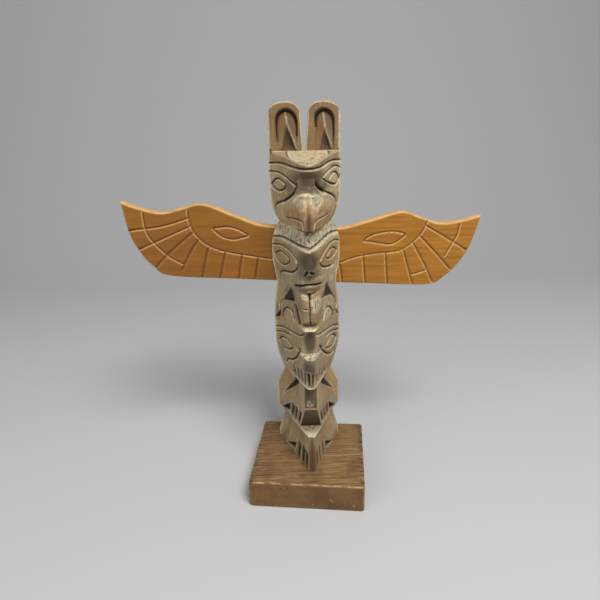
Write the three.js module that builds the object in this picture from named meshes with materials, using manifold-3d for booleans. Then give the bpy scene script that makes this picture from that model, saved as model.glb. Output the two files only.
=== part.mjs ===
// A carved wooden totem pole: a square base, a three-sided log carved with five figures,
// and one board behind it that makes both wings. Lengths are millimetres, turns are degrees.
// The front is towards -Y, +X is the viewer's right and +Z is up. The origin is the middle
// of the base's underside.

import * as THREE from 'three';
import { mergeVertices } from 'three/addons/utils/BufferGeometryUtils.js';
import Module from 'manifold-3d';

const wasm = await Module();
wasm.setup();

// Base block
const baseWidth = 76;
const baseDepth = 69.7;
const baseHeight = 20;
const baseBevel = 1.1;
const baseTurn = -6.2;

// Log: its flat back, its height from the base to the ear tips, and its blunt front edge
const poleWidth = 43.8;
const poleDepth = 43.4;
const poleHeight = 230.6;
const ridgeWidth = 4.4;
const ridgeOffset = 0.8;
const cornerStrip = 1.6;
const cornerFacet = 1.3;
const poleSetBack = 21.2;
const poleSideways = 0.2;
const pieceGap = 0.3;

// Ears: slabs that stand at the back of the head
const earThickness = 4.5;
const earGapTop = 5;
const earGapFoot = 1.6;

// Wing board
const wingSpan = 229.6;
const wingThickness = 7;
const wingEdge = 2;
const wingHeight = 137.7;
const wingShift = -3.5;
const wingTilt = 3.5;

// Carving is drawn on a log of this size and is scaled to the log above
const drawnWidth = 43.8;
const drawnDepth = 43.4;
const drawnHeight = 230.6;
const drawnSpan = 229.6;
const across = poleWidth / drawnWidth;
const inward = poleDepth / drawnDepth;
const upward = poleHeight / drawnHeight;
const alongWing = wingSpan / drawnSpan;

// Heights on the drawing, from the foot of the log
const headTop = 203.3;
const headTopFall = 5;
const earSpring = 222;

// Each neck draws the sides in. Reach and curve are given below and above the tightest place.
const necks = [
  { height: 21.3, pinch: 4.6, reachBelow: 17, reachAbove: 6.5, curveBelow: 1.1, curveAbove: 1.1 },
  { height: 56.5, pinch: 5.7, reachBelow: 11, reachAbove: 24, curveBelow: 1, curveAbove: 1.6 },
  { height: 121, pinch: 2.5, reachBelow: 26, reachAbove: 15, curveBelow: 1.6, curveAbove: 1 },
  { height: 161, pinch: 5.5, reachBelow: 18, reachAbove: 20, curveBelow: 2.5, curveAbove: 2.5 },
];

// The front edge from foot to head top. Apex is where the two front faces would meet, flat is
// the plane that cuts the edge off, and hollow is how far the cheeks are dished or swelled.
const feet = [
  { height: 0, apex: 43.4, flat: 43.4, hollow: 0 },
  { height: 27.4, apex: 43.4, flat: 43.4, hollow: 0 },
];
const crouchingFigure = [
  { height: 28.6, apex: 43.4, flat: 33, hollow: 0 },
  { height: 45.2, apex: 43.4, flat: 39.6, hollow: 0 },
  { height: 46, apex: 43.4, flat: 43.4, hollow: 0 },
  { height: 57.5, apex: 43.4, flat: 43.4, hollow: 0 },
  { height: 61.4, apex: 39.6, flat: 39.6, hollow: 0 },
];
const bearHead = [
  { height: 62.2, apex: 43.4, flat: 43.4, hollow: -1.2 },
  { height: 77, apex: 43.4, flat: 43.4, hollow: -1.2 },
  { height: 82.6, apex: 43.4, flat: 43.4, hollow: 0.6 },
  { height: 83.7, apex: 43.4, flat: 37, hollow: 1.8 },
  { height: 98, apex: 43.4, flat: 35.4, hollow: 1.8 },
  { height: 100.4, apex: 43.4, flat: 33.8, hollow: 0 },
];
const joinedHands = [
  { height: 101.3, apex: 43.4, flat: 39.4, hollow: 0 },
  { height: 120.8, apex: 43, flat: 38, hollow: 0 },
];
const face = [
  { height: 121.8, apex: 40.6, flat: 35.4, hollow: 0 },
  { height: 122.8, apex: 42, flat: 38, hollow: -0.8 },
  { height: 131, apex: 42.4, flat: 38.6, hollow: -0.8 },
  { height: 136.5, apex: 43.4, flat: 42.4, hollow: 0.8 },
  { height: 141, apex: 43.4, flat: 43.4, hollow: 1.8 },
  { height: 149.5, apex: 43.4, flat: 43.4, hollow: 1.4 },
  { height: 151.4, apex: 41.2, flat: 40.4, hollow: 0.6 },
  { height: 160.2, apex: 35.4, flat: 34, hollow: 0 },
];
const birdHead = [
  { height: 161, apex: 43.4, flat: 43.4, hollow: -1.5 },
  { height: 174, apex: 43.4, flat: 43.4, hollow: -1.8 },
  { height: 180, apex: 43.4, flat: 42, hollow: -0.4 },
  { height: 184.5, apex: 43.4, flat: 38.4, hollow: 1.4 },
  { height: 189, apex: 43.4, flat: 37, hollow: 3 },
  { height: 194.2, apex: 43.4, flat: 41, hollow: 3.4 },
  { height: 197, apex: 43.4, flat: 43.4, hollow: 4 },
  { height: headTop, apex: 43.4, flat: 43.4, hollow: 5 },
];
const profile = [...feet, ...crouchingFigure, ...bearHead, ...joinedHands, ...face, ...birdHead];
const levelSpacing = 7;

// Lines cut into the front, as distances to the right of the front edge and heights
const fineCut = { width: 1.3, depth: 0.9 };
const deepCut = { width: 2, depth: 1.6 };
const slitCut = { width: 1.1, depth: 1.4 };
const centreLines = [
  { cut: fineCut, points: [[-21.6, 197.4], [-15.4, 198.2], [-8.4, 196], [0, 195], [8.4, 196],
    [15.4, 198.2], [21.6, 197.4]] },
  { cut: fineCut, points: [[-9.4, 127.6], [-4.6, 128.8], [0, 129.2], [4.6, 128.8], [9.4, 127.6]] },
  { cut: deepCut, points: [[0, 121.4], [0, 113], [0, 103.5]] },
];
const sideLines = [
  { cut: fineCut, points: [[21.4, 192.8], [17.8, 193.5], [14.4, 193], [10.6, 190.6], [6.8, 187.4]] },
  { cut: deepCut, points: [[5.5, 186.9], [8, 183], [11.5, 179.3], [15, 176.6], [18, 173.2],
    [18.9, 169.5], [18, 164]] },
  { cut: fineCut, points: [[14.4, 166.8], [10.6, 167.5], [7, 167.6], [4, 166.8], [3.6, 163]] },
  { cut: fineCut, points: [[21, 151.2], [16.5, 153], [11, 153], [5.6, 151.6], [1.4, 150]] },
  { cut: fineCut, points: [[21.2, 147], [17.2, 148.8], [12.8, 148.2], [9, 145.2], [6.7, 142],
    [6.9, 138.6], [9.6, 134.2], [14.6, 130.2], [16.8, 124]] },
  { cut: slitCut, points: [[1.2, 139.2], [3.5, 136.6]] },
  { cut: slitCut, points: [[1.4, 115.5], [6.4, 115.2]] },
  { cut: slitCut, points: [[9.2, 113], [7.8, 109], [6.6, 103.5]] },
  { cut: fineCut, points: [[9.6, 116.2], [14.2, 113.2], [17.6, 108.8], [18.8, 103.5]] },
  { cut: fineCut, points: [[16.6, 99.6], [16.2, 105], [13.4, 108.2], [10.8, 106.4], [9.6, 102.6]] },
  { cut: fineCut, points: [[21.2, 89.6], [16.6, 92.6], [10, 95], [3.6, 97.4]] },
  { cut: fineCut, points: [[21, 85], [17, 88], [12.4, 89.2]] },
  { cut: fineCut, points: [[6.6, 86.6], [8, 82.2], [11, 76.8], [15.6, 71.4], [16.6, 67.5]] },
];
const eyeLines = [
  { cut: fineCut, points: [[20.4, 184], [17, 188.6], [11.9, 185.4], [16.2, 181.2]] },
  { cut: fineCut, points: [[19.6, 140], [16, 144.4], [11.2, 141.8], [12.4, 138.2], [17.2, 137]] },
  { cut: fineCut, points: [[19.2, 80.6], [15.4, 85.6], [11, 83.4], [13.8, 79.2], [18, 78]] },
];
const teeth = { across: [2.2, 4.4, 6.4, 8.3, 10.3], top: 71, foot: 66, lean: 0 };
const fingers = { across: [7.4, 9.5, 11.6], top: 38.6, foot: 30.6, lean: 1.2 };
const toes = { across: [4.2, 6.5, 8.8], top: 11.4, foot: 1.4, lean: 0.2 };

// Hollows beside the front edge: corners on the face and how deep each corner goes
const hollows = [
  { corners: [[10.4, 121.6], [9.2, 116.4], [16.8, 110.8]], depths: [2.2, 2.6, 1] },
  { corners: [[10.6, 61.4], [8.2, 60], [15.9, 44.6]], depths: [3, 3, 0.8] },
  { corners: [[13.2, 37.8], [14.2, 32], [18.6, 27.6]], depths: [0.6, 2.6, 2.6] },
  { corners: [[10.8, 9], [11.4, 4.4], [16.2, 0.8]], depths: [0.6, 2.4, 2] },
];
const earHollow = { corners: [[11.2, 217.6], [8.6, 203.9], [14.8, 203.9]], depths: [0.4, 2.4, 2.4] };
const earArch = [[17.2, 206], [17.3, 215], [16.6, 221.6], [14.2, 224.8], [11, 225.4], [7.8, 224.2],
  [6.3, 220], [5.8, 207]];
const bellyPanel = { topHalf: 4.7, footHalf: 3.4, top: 60.6, foot: 45.6, topDepth: 37, footDepth: 39.4 };

// Wing board drawn from its middle; the right half is mirrored to the left
const wingTop = [[0, 18.4], [25, 18.8], [43, 24.2], [63, 30.6], [76, 27.6], [89, 24.4], [102, 26.2],
  [114.8, 30.2]];
const wingFoot = [[110.6, 9.7], [104, -3.3], [96.5, -11.6], [85.4, -17.6]];
const wingFootMiddle = -18.4;
const wingCut = { width: 1.5, depth: 0.9 };
const leftWingLines = [
  [[-72.7, 25.3], [-71.6, 18], [-67.5, 10.4], [-60, 4.2], [-49.5, 0.7], [-34, -1.6], [-19, -3.3]],
  [[-101, 23.5], [-100.9, 13.5], [-96.1, 5.9], [-86.2, -3.8], [-76.9, -9]],
  [[-72.8, 21.5], [-90, 15.6], [-112, 11.9]],
  [[-71.7, 16.3], [-93.3, 5.6], [-105.9, -0.6]],
  [[-70.4, 12.1], [-86.8, -2.8], [-95.5, -12.4]],
  [[-66.8, 7.3], [-72, -0.8], [-77.8, -12.8]],
  [[-60.7, 1.8], [-64.8, -18]],
  [[-49.5, -0.4], [-52.9, -18]],
  [[-38.5, -1.8], [-40.7, -18]],
  [[-27.9, -2.9], [-29.6, -18]],
];
const leftWingEye = [[-56.8, 15.4], [-50, 16.8], [-41.6, 15.7], [-34.7, 12], [-43.7, 8.9], [-52, 11]];
const rightWingLines = [
  [[80.8, 25.3], [77.3, 17.2], [71, 10], [63.6, 5.2], [48.7, 2.9], [36, 0], [25.8, -4.2],
    [28.4, -18]],
  [[101.7, 23.4], [101, 17.4], [98.8, 11.9], [94.8, 2.8]],
  [[79.9, 22.6], [98.6, 12.9], [108.6, 7.4]],
  [[76.8, 15.8], [87.5, 6], [99.6, -6.1]],
  [[73, 10.9], [81.9, -2.5], [89, -14.7]],
  [[67.2, 5.9], [73.2, -9.9], [76.2, -18]],
  [[55.7, 3.5], [59, -18]],
  [[41.1, 1.2], [44.1, -18]],
  [[74.7, -10.6], [83.8, -7.1]],
];
const rightWingEye = [[40.6, 11.1], [51.3, 16.9], [60, 18], [67.1, 16.1], [59, 9.8], [50, 9.8]];

const foot = baseHeight + pieceGap;
const lineSpacing = 4;
const wingLineSpacing = 6;
const cutLift = 1.5;
const farInFront = 70;
const farAside = 60;
const wellAbove = 40;

function toSolid(geometry) {
  geometry.deleteAttribute('normal');
  geometry.deleteAttribute('uv');
  const merged = mergeVertices(geometry, 1e-4);
  return new wasm.Manifold(new wasm.Mesh({
    numProp: 3,
    vertProperties: new Float32Array(merged.attributes.position.array),
    triVerts: new Uint32Array(merged.index.array),
  }));
}

function toGeometry(solid) {
  const mesh = solid.getMesh();
  const geometry = new THREE.BufferGeometry();
  geometry.setAttribute('position', new THREE.BufferAttribute(mesh.vertProperties, 3));
  geometry.setIndex(new THREE.BufferAttribute(mesh.triVerts, 1));
  geometry.computeVertexNormals();
  return geometry;
}

// A closed skin over rings of equal length, listed so that the rings turn anticlockwise
// when they are seen from the end of the row.
function skinRings(rings) {
  const count = rings[0].length;
  const positions = [];
  for (const ring of rings) {
    for (const point of ring) positions.push(point.x, point.y, point.z);
  }
  const index = [];
  for (let row = 0; row + 1 < rings.length; row += 1) {
    for (let i = 0; i < count; i += 1) {
      const next = (i + 1) % count;
      const low = row * count;
      const high = low + count;
      index.push(low + i, low + next, high + next, low + i, high + next, high + i);
    }
  }
  const capOf = (ring, start, turned) => {
    const normal = new THREE.Vector3();
    for (let i = 0; i < count; i += 1) {
      normal.add(new THREE.Vector3().crossVectors(ring[i], ring[(i + 1) % count]));
    }
    const sideways = new THREE.Vector3().subVectors(ring[1], ring[0]).normalize();
    normal.normalize();
    const other = new THREE.Vector3().crossVectors(normal, sideways);
    const flatRing = ring.map((p) => new THREE.Vector2(p.dot(sideways), p.dot(other)));
    for (const [a, b, c] of THREE.ShapeUtils.triangulateShape(flatRing, [])) {
      if (turned) index.push(start + a, start + c, start + b);
      else index.push(start + a, start + b, start + c);
    }
  };
  capOf(rings[0], 0, true);
  capOf(rings[rings.length - 1], (rings.length - 1) * count, false);
  const geometry = new THREE.BufferGeometry();
  geometry.setAttribute('position', new THREE.Float32BufferAttribute(positions, 3));
  geometry.setIndex(index);
  return geometry;
}

function curveThrough(points, closed, spacing) {
  const curve = new THREE.CatmullRomCurve3(
    points.map(([x, height]) => new THREE.Vector3(x, 0, height)), closed, 'centripetal');
  const fewest = closed ? 8 : 3;
  return curve.getSpacedPoints(Math.max(fewest, Math.round(curve.getLength() / spacing)));
}

// Log

function halfWidthAt(height) {
  let half = drawnWidth / 2;
  for (const neck of necks) {
    const above = height > neck.height;
    const reach = above ? neck.reachAbove : neck.reachBelow;
    const curve = above ? neck.curveAbove : neck.curveBelow;
    const share = Math.abs(height - neck.height) / reach;
    if (share < 1) half -= neck.pinch * (1 - share) ** curve;
  }
  return half;
}

function profileAt(height) {
  const inside = Math.min(Math.max(height, 0), headTop);
  let row = 0;
  while (row < profile.length - 2 && profile[row + 1].height < inside) row += 1;
  const low = profile[row];
  const high = profile[row + 1];
  const share = (inside - low.height) / (high.height - low.height);
  const blend = (key) => low[key] + (high[key] - low[key]) * share;
  return { apex: blend('apex'), flat: blend('flat'), hollow: blend('hollow') };
}

// How far the front lies before the back, at a share of the half width and a drawn height
function depthAt(share, height) {
  const { apex, flat, hollow } = profileAt(height);
  const ridgeShare = ridgeWidth / poleWidth;
  const slope = Math.min(1, (1 - share) / (1 - ridgeShare));
  const dish = hollow * Math.sin(Math.PI * Math.min(1, share));
  return Math.max(cornerStrip, Math.min(flat, apex * slope) - dish);
}

// The place on the front at a drawn distance from the front edge and a drawn height
function frontPoint(distance, height) {
  const share = Math.abs(distance) / (drawnWidth / 2);
  const half = halfWidthAt(height) * across;
  const side = Math.sign(distance);
  const reach = half - side * ridgeOffset;
  const depth = depthAt(share, height) * inward;
  const seen = height > headTop ? Math.min(depth, earThickness) : depth;
  return new THREE.Vector3(ridgeOffset + side * share * reach, -seen, height * upward);
}

function frontNormal(distance, height) {
  const step = 0.6;
  const right = frontPoint(distance + step, height).sub(frontPoint(distance - step, height));
  const up = frontPoint(distance, height + step).sub(frontPoint(distance, height - step));
  up.y = Math.max(-step, Math.min(step, up.y));
  return right.cross(up).normalize();
}

function logRing(height) {
  const half = halfWidthAt(height) * across;
  const facetShare = 1 - cornerFacet / half;
  const ridgeShare = ridgeWidth / poleWidth;
  const steps = [0.82, 0.68, 0.54, 0.4, 0.28, 0.18];
  const shares = [facetShare, ...steps, ridgeShare];
  const ring = [new THREE.Vector2(-half, 0), new THREE.Vector2(-half, -cornerStrip)];
  const place = (share, side) => {
    const reach = half - side * ridgeOffset;
    return new THREE.Vector2(ridgeOffset + side * share * reach, -depthAt(share, height) * inward);
  };
  for (const share of shares) ring.push(place(share, -1));
  for (const share of [...shares].reverse()) ring.push(place(share, 1));
  ring.push(new THREE.Vector2(half, -cornerStrip), new THREE.Vector2(half, 0));
  return ring.map((point) => new THREE.Vector3(point.x, point.y, height * upward));
}

function logLevels() {
  const fixed = [...profile.map((row) => row.height), ...necks.map((neck) => neck.height)];
  const levels = [...new Set([...fixed, drawnHeight + 1])].sort((a, b) => a - b);
  const filled = [levels[0]];
  for (const level of levels.slice(1)) {
    const last = filled[filled.length - 1];
    const parts = level > headTop ? 1 : Math.ceil((level - last) / levelSpacing);
    for (let i = 1; i <= parts; i += 1) filled.push(last + (level - last) * i / parts);
  }
  return filled;
}

// A chisel line: a V that runs along the stations and thins out at its ends
function chiselLine(stations, cut, closed) {
  const last = stations.length - 1;
  const rings = stations.map(({ point, normal }, i) => {
    const before = stations[closed ? (i + last) % (last + 1) : Math.max(0, i - 1)].point;
    const after = stations[closed ? (i + 1) % (last + 1) : Math.min(last, i + 1)].point;
    const along = new THREE.Vector3().subVectors(after, before).normalize();
    const aside = new THREE.Vector3().crossVectors(normal, along).normalize();
    const thin = !closed && (i === 0 || i === last) ? 0.3 : 1;
    const depth = cut.depth * thin;
    const half = cut.width / 2 * thin * (1 + cutLift / depth);
    const lifted = point.clone().addScaledVector(normal, cutLift);
    return [
      lifted.clone().addScaledVector(aside, half),
      lifted.clone().addScaledVector(aside, -half),
      point.clone().addScaledVector(normal, -depth),
    ];
  });
  return rings;
}

function skinLine(rings, closed) {
  const whole = closed ? [...rings, rings[0]] : rings;
  let solid = null;
  for (let i = 0; i + 1 < whole.length; i += 1) {
    const piece = toSolid(skinRings([whole[i], whole[i + 1]]));
    solid = solid ? solid.add(piece) : piece;
  }
  return solid;
}

function frontLine(points, cut, closed = false) {
  const curve = curveThrough(points, closed, lineSpacing);
  if (closed) curve.pop();
  const stations = curve.map((p) => ({ point: frontPoint(p.x, p.z), normal: frontNormal(p.x, p.z) }));
  return skinLine(chiselLine(stations, cut, closed), closed);
}

function frontHollow({ corners, depths }, side) {
  const outside = [];
  const inside = [];
  corners.forEach(([distance, height], i) => {
    const point = frontPoint(side * distance, height);
    const normal = frontNormal(side * distance, height);
    outside.push(point.clone().addScaledVector(normal, cutLift));
    inside.push(point.clone().addScaledVector(normal, -depths[i]));
  });
  const turn = new THREE.Vector3().subVectors(outside[1], outside[0])
    .cross(new THREE.Vector3().subVectors(outside[2], outside[0]));
  const facesOut = turn.dot(frontNormal(side * corners[0][0], corners[0][1])) > 0;
  if (!facesOut) {
    outside.reverse();
    inside.reverse();
  }
  return toSolid(skinRings([inside, outside]));
}

// A prism whose outline is seen from the front and whose floor depth is set at each corner
function frontPocket(corners) {
  const floor = corners.map(([x, depth, height]) => new THREE.Vector3(x, -depth, height));
  const open = corners.map(([x, , height]) => new THREE.Vector3(x, -farInFront, height));
  return toSolid(skinRings([floor, open]));
}

function mirrored(points, side) {
  return points.map(([distance, height]) => [side * distance, height]);
}

function bellyCut() {
  const { topHalf, footHalf, top, foot: low, topDepth, footDepth } = bellyPanel;
  const corners = [
    [-footHalf, footDepth, low], [footHalf, footDepth, low], [topHalf, topDepth, top],
    [-topHalf, topDepth, top],
  ];
  return frontPocket(corners.map(([x, depth, height]) => [
    ridgeOffset + x * across, depth * inward, height * upward]));
}

// The top of the head falls away towards the front, before the ears
function headTopCut() {
  const low = headTop * upward;
  const rise = headTopFall / drawnDepth * inward * farInFront;
  const corners = [
    [-earThickness, low], [-farInFront, low - rise], [-farInFront, low + wellAbove],
    [-earThickness, low + wellAbove],
  ];
  const ringAt = (x) => corners.map(([y, height]) => new THREE.Vector3(x, y, height));
  return toSolid(skinRings([ringAt(farAside), ringAt(-farAside)]));
}

// Everything above the two rounded ears and in the slot between them
function earTrim() {
  const tip = poleHeight;
  const spring = earSpring * upward;
  const slotFoot = (headTop + 1) * upward;
  const outer = poleWidth / 2;
  const crown = 10.8 * across;
  const trim = new THREE.Shape();
  trim.moveTo(-farAside, spring);
  trim.lineTo(-outer, spring);
  trim.bezierCurveTo(-outer, tip - 2, -crown - 5, tip, -crown, tip);
  trim.bezierCurveTo(-crown + 4, tip, -earGapTop / 2, tip - 2, -earGapTop / 2 + 0.4, spring + 2);
  trim.lineTo(-earGapFoot / 2, slotFoot);
  trim.lineTo(earGapFoot / 2, slotFoot);
  trim.lineTo(earGapTop / 2 - 0.4, spring + 2);
  trim.bezierCurveTo(earGapTop / 2, tip - 2, crown - 4, tip, crown, tip);
  trim.bezierCurveTo(crown + 5, tip, outer, tip - 2, outer, spring);
  trim.lineTo(farAside, spring);
  trim.lineTo(farAside, tip + wellAbove);
  trim.lineTo(-farAside, tip + wellAbove);
  const geometry = new THREE.ExtrudeGeometry(trim, {
    depth: farInFront, bevelEnabled: false, curveSegments: 6,
  });
  geometry.rotateX(Math.PI / 2);
  geometry.translate(0, farInFront / 2, 0);
  return toSolid(geometry);
}

function carvedLog() {
  let log = toSolid(skinRings(logLevels().map(logRing)));
  log = log.subtract(headTopCut()).subtract(earTrim()).subtract(bellyCut());
  for (const { cut, points } of centreLines) log = log.subtract(frontLine(points, cut));
  for (const side of [-1, 1]) {
    for (const { cut, points } of sideLines) {
      log = log.subtract(frontLine(mirrored(points, side), cut));
    }
    for (const { cut, points } of eyeLines) {
      log = log.subtract(frontLine(mirrored(points, side), cut, true));
    }
    for (const row of [teeth, fingers, toes]) {
      for (const distance of row.across) {
        const slit = [[distance, row.top], [distance + row.lean, row.foot]];
        log = log.subtract(frontLine(mirrored(slit, side), slitCut));
      }
    }
    for (const hollow of hollows) log = log.subtract(frontHollow(hollow, side));
    log = log.subtract(frontHollow(earHollow, side));
    log = log.subtract(frontLine(mirrored(earArch, side), deepCut));
  }
  return log;
}

// Wings

function wingOutline() {
  const right = [];
  const top = new THREE.SplineCurve(wingTop.map(([x, z]) => new THREE.Vector2(x * alongWing, z)));
  const low = new THREE.SplineCurve([wingTop[wingTop.length - 1], ...wingFoot]
    .map(([x, z]) => new THREE.Vector2(x * alongWing, z)));
  right.push(...top.getSpacedPoints(22).slice(1), ...low.getSpacedPoints(12).slice(1));
  const left = right.map((point) => new THREE.Vector2(-point.x, point.y)).reverse();
  const outline = [new THREE.Vector2(0, wingTop[0][1]), ...right,
    new THREE.Vector2(0, wingFootMiddle), ...left];
  return new THREE.Shape(outline.reverse());
}

function wingLine(points, closed = false) {
  const curve = curveThrough(points.map(([x, z]) => [x * alongWing, z]), closed, wingLineSpacing);
  if (closed) curve.pop();
  const normal = new THREE.Vector3(0, -1, 0);
  const stations = curve.map((point) => ({ point, normal }));
  return skinLine(chiselLine(stations, wingCut, closed), closed);
}

function wingBoard() {
  const geometry = new THREE.ExtrudeGeometry(wingOutline(), {
    depth: wingThickness - 2 * wingEdge,
    bevelThickness: wingEdge,
    bevelSize: wingEdge,
    bevelOffset: -wingEdge,
    bevelSegments: 2,
  });
  geometry.rotateX(Math.PI / 2);
  geometry.translate(0, wingThickness - wingEdge, 0);
  let board = toSolid(geometry);
  for (const points of [...leftWingLines, ...rightWingLines]) board = board.subtract(wingLine(points));
  for (const points of [leftWingEye, rightWingEye]) board = board.subtract(wingLine(points, true));
  return board;
}

// Base

function baseBlock() {
  const half = new THREE.Vector2(baseWidth / 2, baseDepth / 2);
  const ringAt = (height, inset) => [[-1, -1], [1, -1], [1, 1], [-1, 1]].flatMap(([sx, sy]) => {
    const x = half.x - inset;
    const y = half.y - inset;
    const alongX = new THREE.Vector3(sx * (x - baseBevel), sy * y, height);
    const alongY = new THREE.Vector3(sx * x, sy * (y - baseBevel), height);
    return sx * sy > 0 ? [alongY, alongX] : [alongX, alongY];
  });
  return toSolid(skinRings([
    ringAt(0, 0), ringAt(baseHeight - baseBevel, 0), ringAt(baseHeight, baseBevel),
  ].map((ring) => turnForward(ring))));
}

// Puts a ring's corners in anticlockwise order, seen from above
function turnForward(ring) {
  return [...ring].sort((a, b) => Math.atan2(a.y, a.x) - Math.atan2(b.y, b.x));
}

// Materials and scene

const baseWood = new THREE.MeshStandardMaterial({ color: 0x7d6242, roughness: 0.75, metalness: 0 });
const poleWood = new THREE.MeshStandardMaterial({ color: 0x857052, roughness: 0.6, metalness: 0 });
const wingWood = new THREE.MeshStandardMaterial({ color: 0xb07634, roughness: 0.55, metalness: 0 });

function pieceMesh(name, solid, material) {
  const mesh = new THREE.Mesh(toGeometry(solid), material);
  mesh.name = name;
  return mesh;
}

const totemPole = new THREE.Group();

const base = pieceMesh('base', baseBlock(), baseWood);
base.rotation.z = THREE.MathUtils.degToRad(baseTurn);
totemPole.add(base);

const pole = pieceMesh('pole', carvedLog(), poleWood);
pole.position.set(poleSideways, poleSetBack, foot);
totemPole.add(pole);

const wings = pieceMesh('wings', wingBoard(), wingWood);
wings.position.set(poleSideways + wingShift, poleSetBack + pieceGap, foot + wingHeight * upward);
wings.rotation.y = THREE.MathUtils.degToRad(wingTilt);
totemPole.add(wings);

export default totemPole;
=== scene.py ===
"""Looks of a carved wooden totem pole: the finely carved log, the wing board and the worn base."""

import itertools
import math

import bmesh
import bpy
import numpy as np
from bpy.props import FloatProperty, FloatVectorProperty, IntProperty, PointerProperty
from mathutils import Matrix, Vector


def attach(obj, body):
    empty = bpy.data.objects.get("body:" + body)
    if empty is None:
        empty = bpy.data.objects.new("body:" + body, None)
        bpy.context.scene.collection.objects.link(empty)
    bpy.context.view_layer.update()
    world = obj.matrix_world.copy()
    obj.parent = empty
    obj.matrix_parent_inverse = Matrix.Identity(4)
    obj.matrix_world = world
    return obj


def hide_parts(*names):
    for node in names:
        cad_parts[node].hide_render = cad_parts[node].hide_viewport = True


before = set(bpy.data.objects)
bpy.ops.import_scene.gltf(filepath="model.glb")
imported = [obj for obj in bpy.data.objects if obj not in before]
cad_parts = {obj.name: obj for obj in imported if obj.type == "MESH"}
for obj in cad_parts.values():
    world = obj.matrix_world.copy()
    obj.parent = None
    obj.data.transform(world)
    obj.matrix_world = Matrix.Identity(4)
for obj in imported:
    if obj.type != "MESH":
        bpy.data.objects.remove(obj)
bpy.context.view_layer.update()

bl_info = {
    "name": "Totem Pole",
    "version": (1, 0, 0),
    "blender": (4, 5, 0),
    "location": "View3D > Sidebar > Totem",
    "description": "Builds a carved wooden totem pole with wings on a square base",
    "category": "Add Mesh",
}

# Carving is drawn in millimetres, from the foot of the log and from its front edge
MM = 0.001
LOG_WIDTH = 43.8
LOG_HEIGHT = 230.6
RIDGE_WIDTH = 4.4
RIDGE_OFFSET = 0.8
CORNER_STRIP = 1.6
LOG_BACK_Y = 21.2
LOG_X = 0.2
PIECE_GAP = 0.3
HEAD_TOP = 203.3
HEAD_TOP_SLOPE = 0.123
BASE_HEIGHT = 20.0
# A steep face is this many times as wide as it looks from the front; less for drawn lines
FACE_STRETCH = 2.42
LINE_STRETCH = 1.7
# Spacing of the points on a drawn curve, and a distance that is out of every reach
CURVE_STEP = 0.8
FAR_AWAY = 1e9
# Points that are nearer than this, in metres, are one; faces meet sharply above this angle
WELD = 0.000002
SHARP_ANGLE = 38.0
# Values on the log's mesh that its wood is coloured by, among them painted shade, painted light and painted
# highlights
FINISHES = ("bleach", "groove", "lip", "chip", "stain", "warm", "dent", "soil")

# Height, pinch, then reach and curve of the dip below and above
NECKS = (
    (21.3, 4.6, 17.0, 6.5, 1.1, 1.1), (56.5, 5.7, 11.0, 24.0, 1.0, 1.6), (121.0, 2.5, 26.0, 15.0, 1.6, 1.0),
    (161.0, 5.5, 18.0, 20.0, 2.5, 2.5),
)

# Height, where the two faces would meet, where the front edge is cut flat, hollow of the cheeks
PROFILE = np.array((
    (0, 43.4, 43.4, 0), (27.4, 43.4, 43.4, 0), (28.6, 43.4, 33, 0), (45.2, 43.4, 39.6, 0),
    (46, 43.4, 43.4, 0), (57.5, 43.4, 43.4, 0), (61.4, 39.6, 39.6, 0), (62.2, 43.4, 43.4, -1.2),
    (77, 43.4, 43.4, -1.2), (82.4, 43.4, 43.4, 0.6), (83.7, 43.4, 37, 1.8), (98, 43.4, 35.4, 1.8),
    (99.6, 43.4, 35.4, 0.6), (100.3, 43.4, 40.2, 0), (101.2, 43.4, 40, 0), (102.6, 43.4, 37.2, 0),
    (104.5, 43.4, 38.8, 0), (121.6, 43, 38, 0), (123.2, 42.4, 36, 0), (123.6, 41, 35.6, -0.4),
    (124.6, 42.4, 38.4, -0.8), (131, 42.4, 38.8, -0.8), (136.5, 43.4, 42.4, 0.8), (141, 43.4, 43.4, 1.8),
    (149.5, 43.4, 43.4, 1.4), (151.4, 41.2, 40.4, 0.6), (160.2, 35.4, 34, 0), (161, 43.4, 43.4, -1.5),
    (172, 43.4, 43.4, -2.2), (180.4, 43.4, 41.6, -0.6), (182.2, 43.4, 39.2, 0.8), (186, 43.4, 37.2, 1.8),
    (190, 43.4, 37.4, 3), (194.4, 43.4, 41.4, 3.2), (197, 43.4, 42, 2.6), (HEAD_TOP, 42.4, 39.4, 1.0),
))

# Height and how softly the front edge is rounded
SOFTNESS = np.array((
    (0, 0.25), (27, 0.25), (30, 0.6), (60, 0.6), (62, 1.8), (82, 1.8), (84, 1.2), (100, 1.0), (103, 3.0),
    (122, 3.4), (125, 3.6), (150, 3.0), (160, 1.6), (161, 1.8), (180, 2.0), (182, 1.4), (195, 4.0),
    (HEAD_TOP, 6.0),
))

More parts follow.
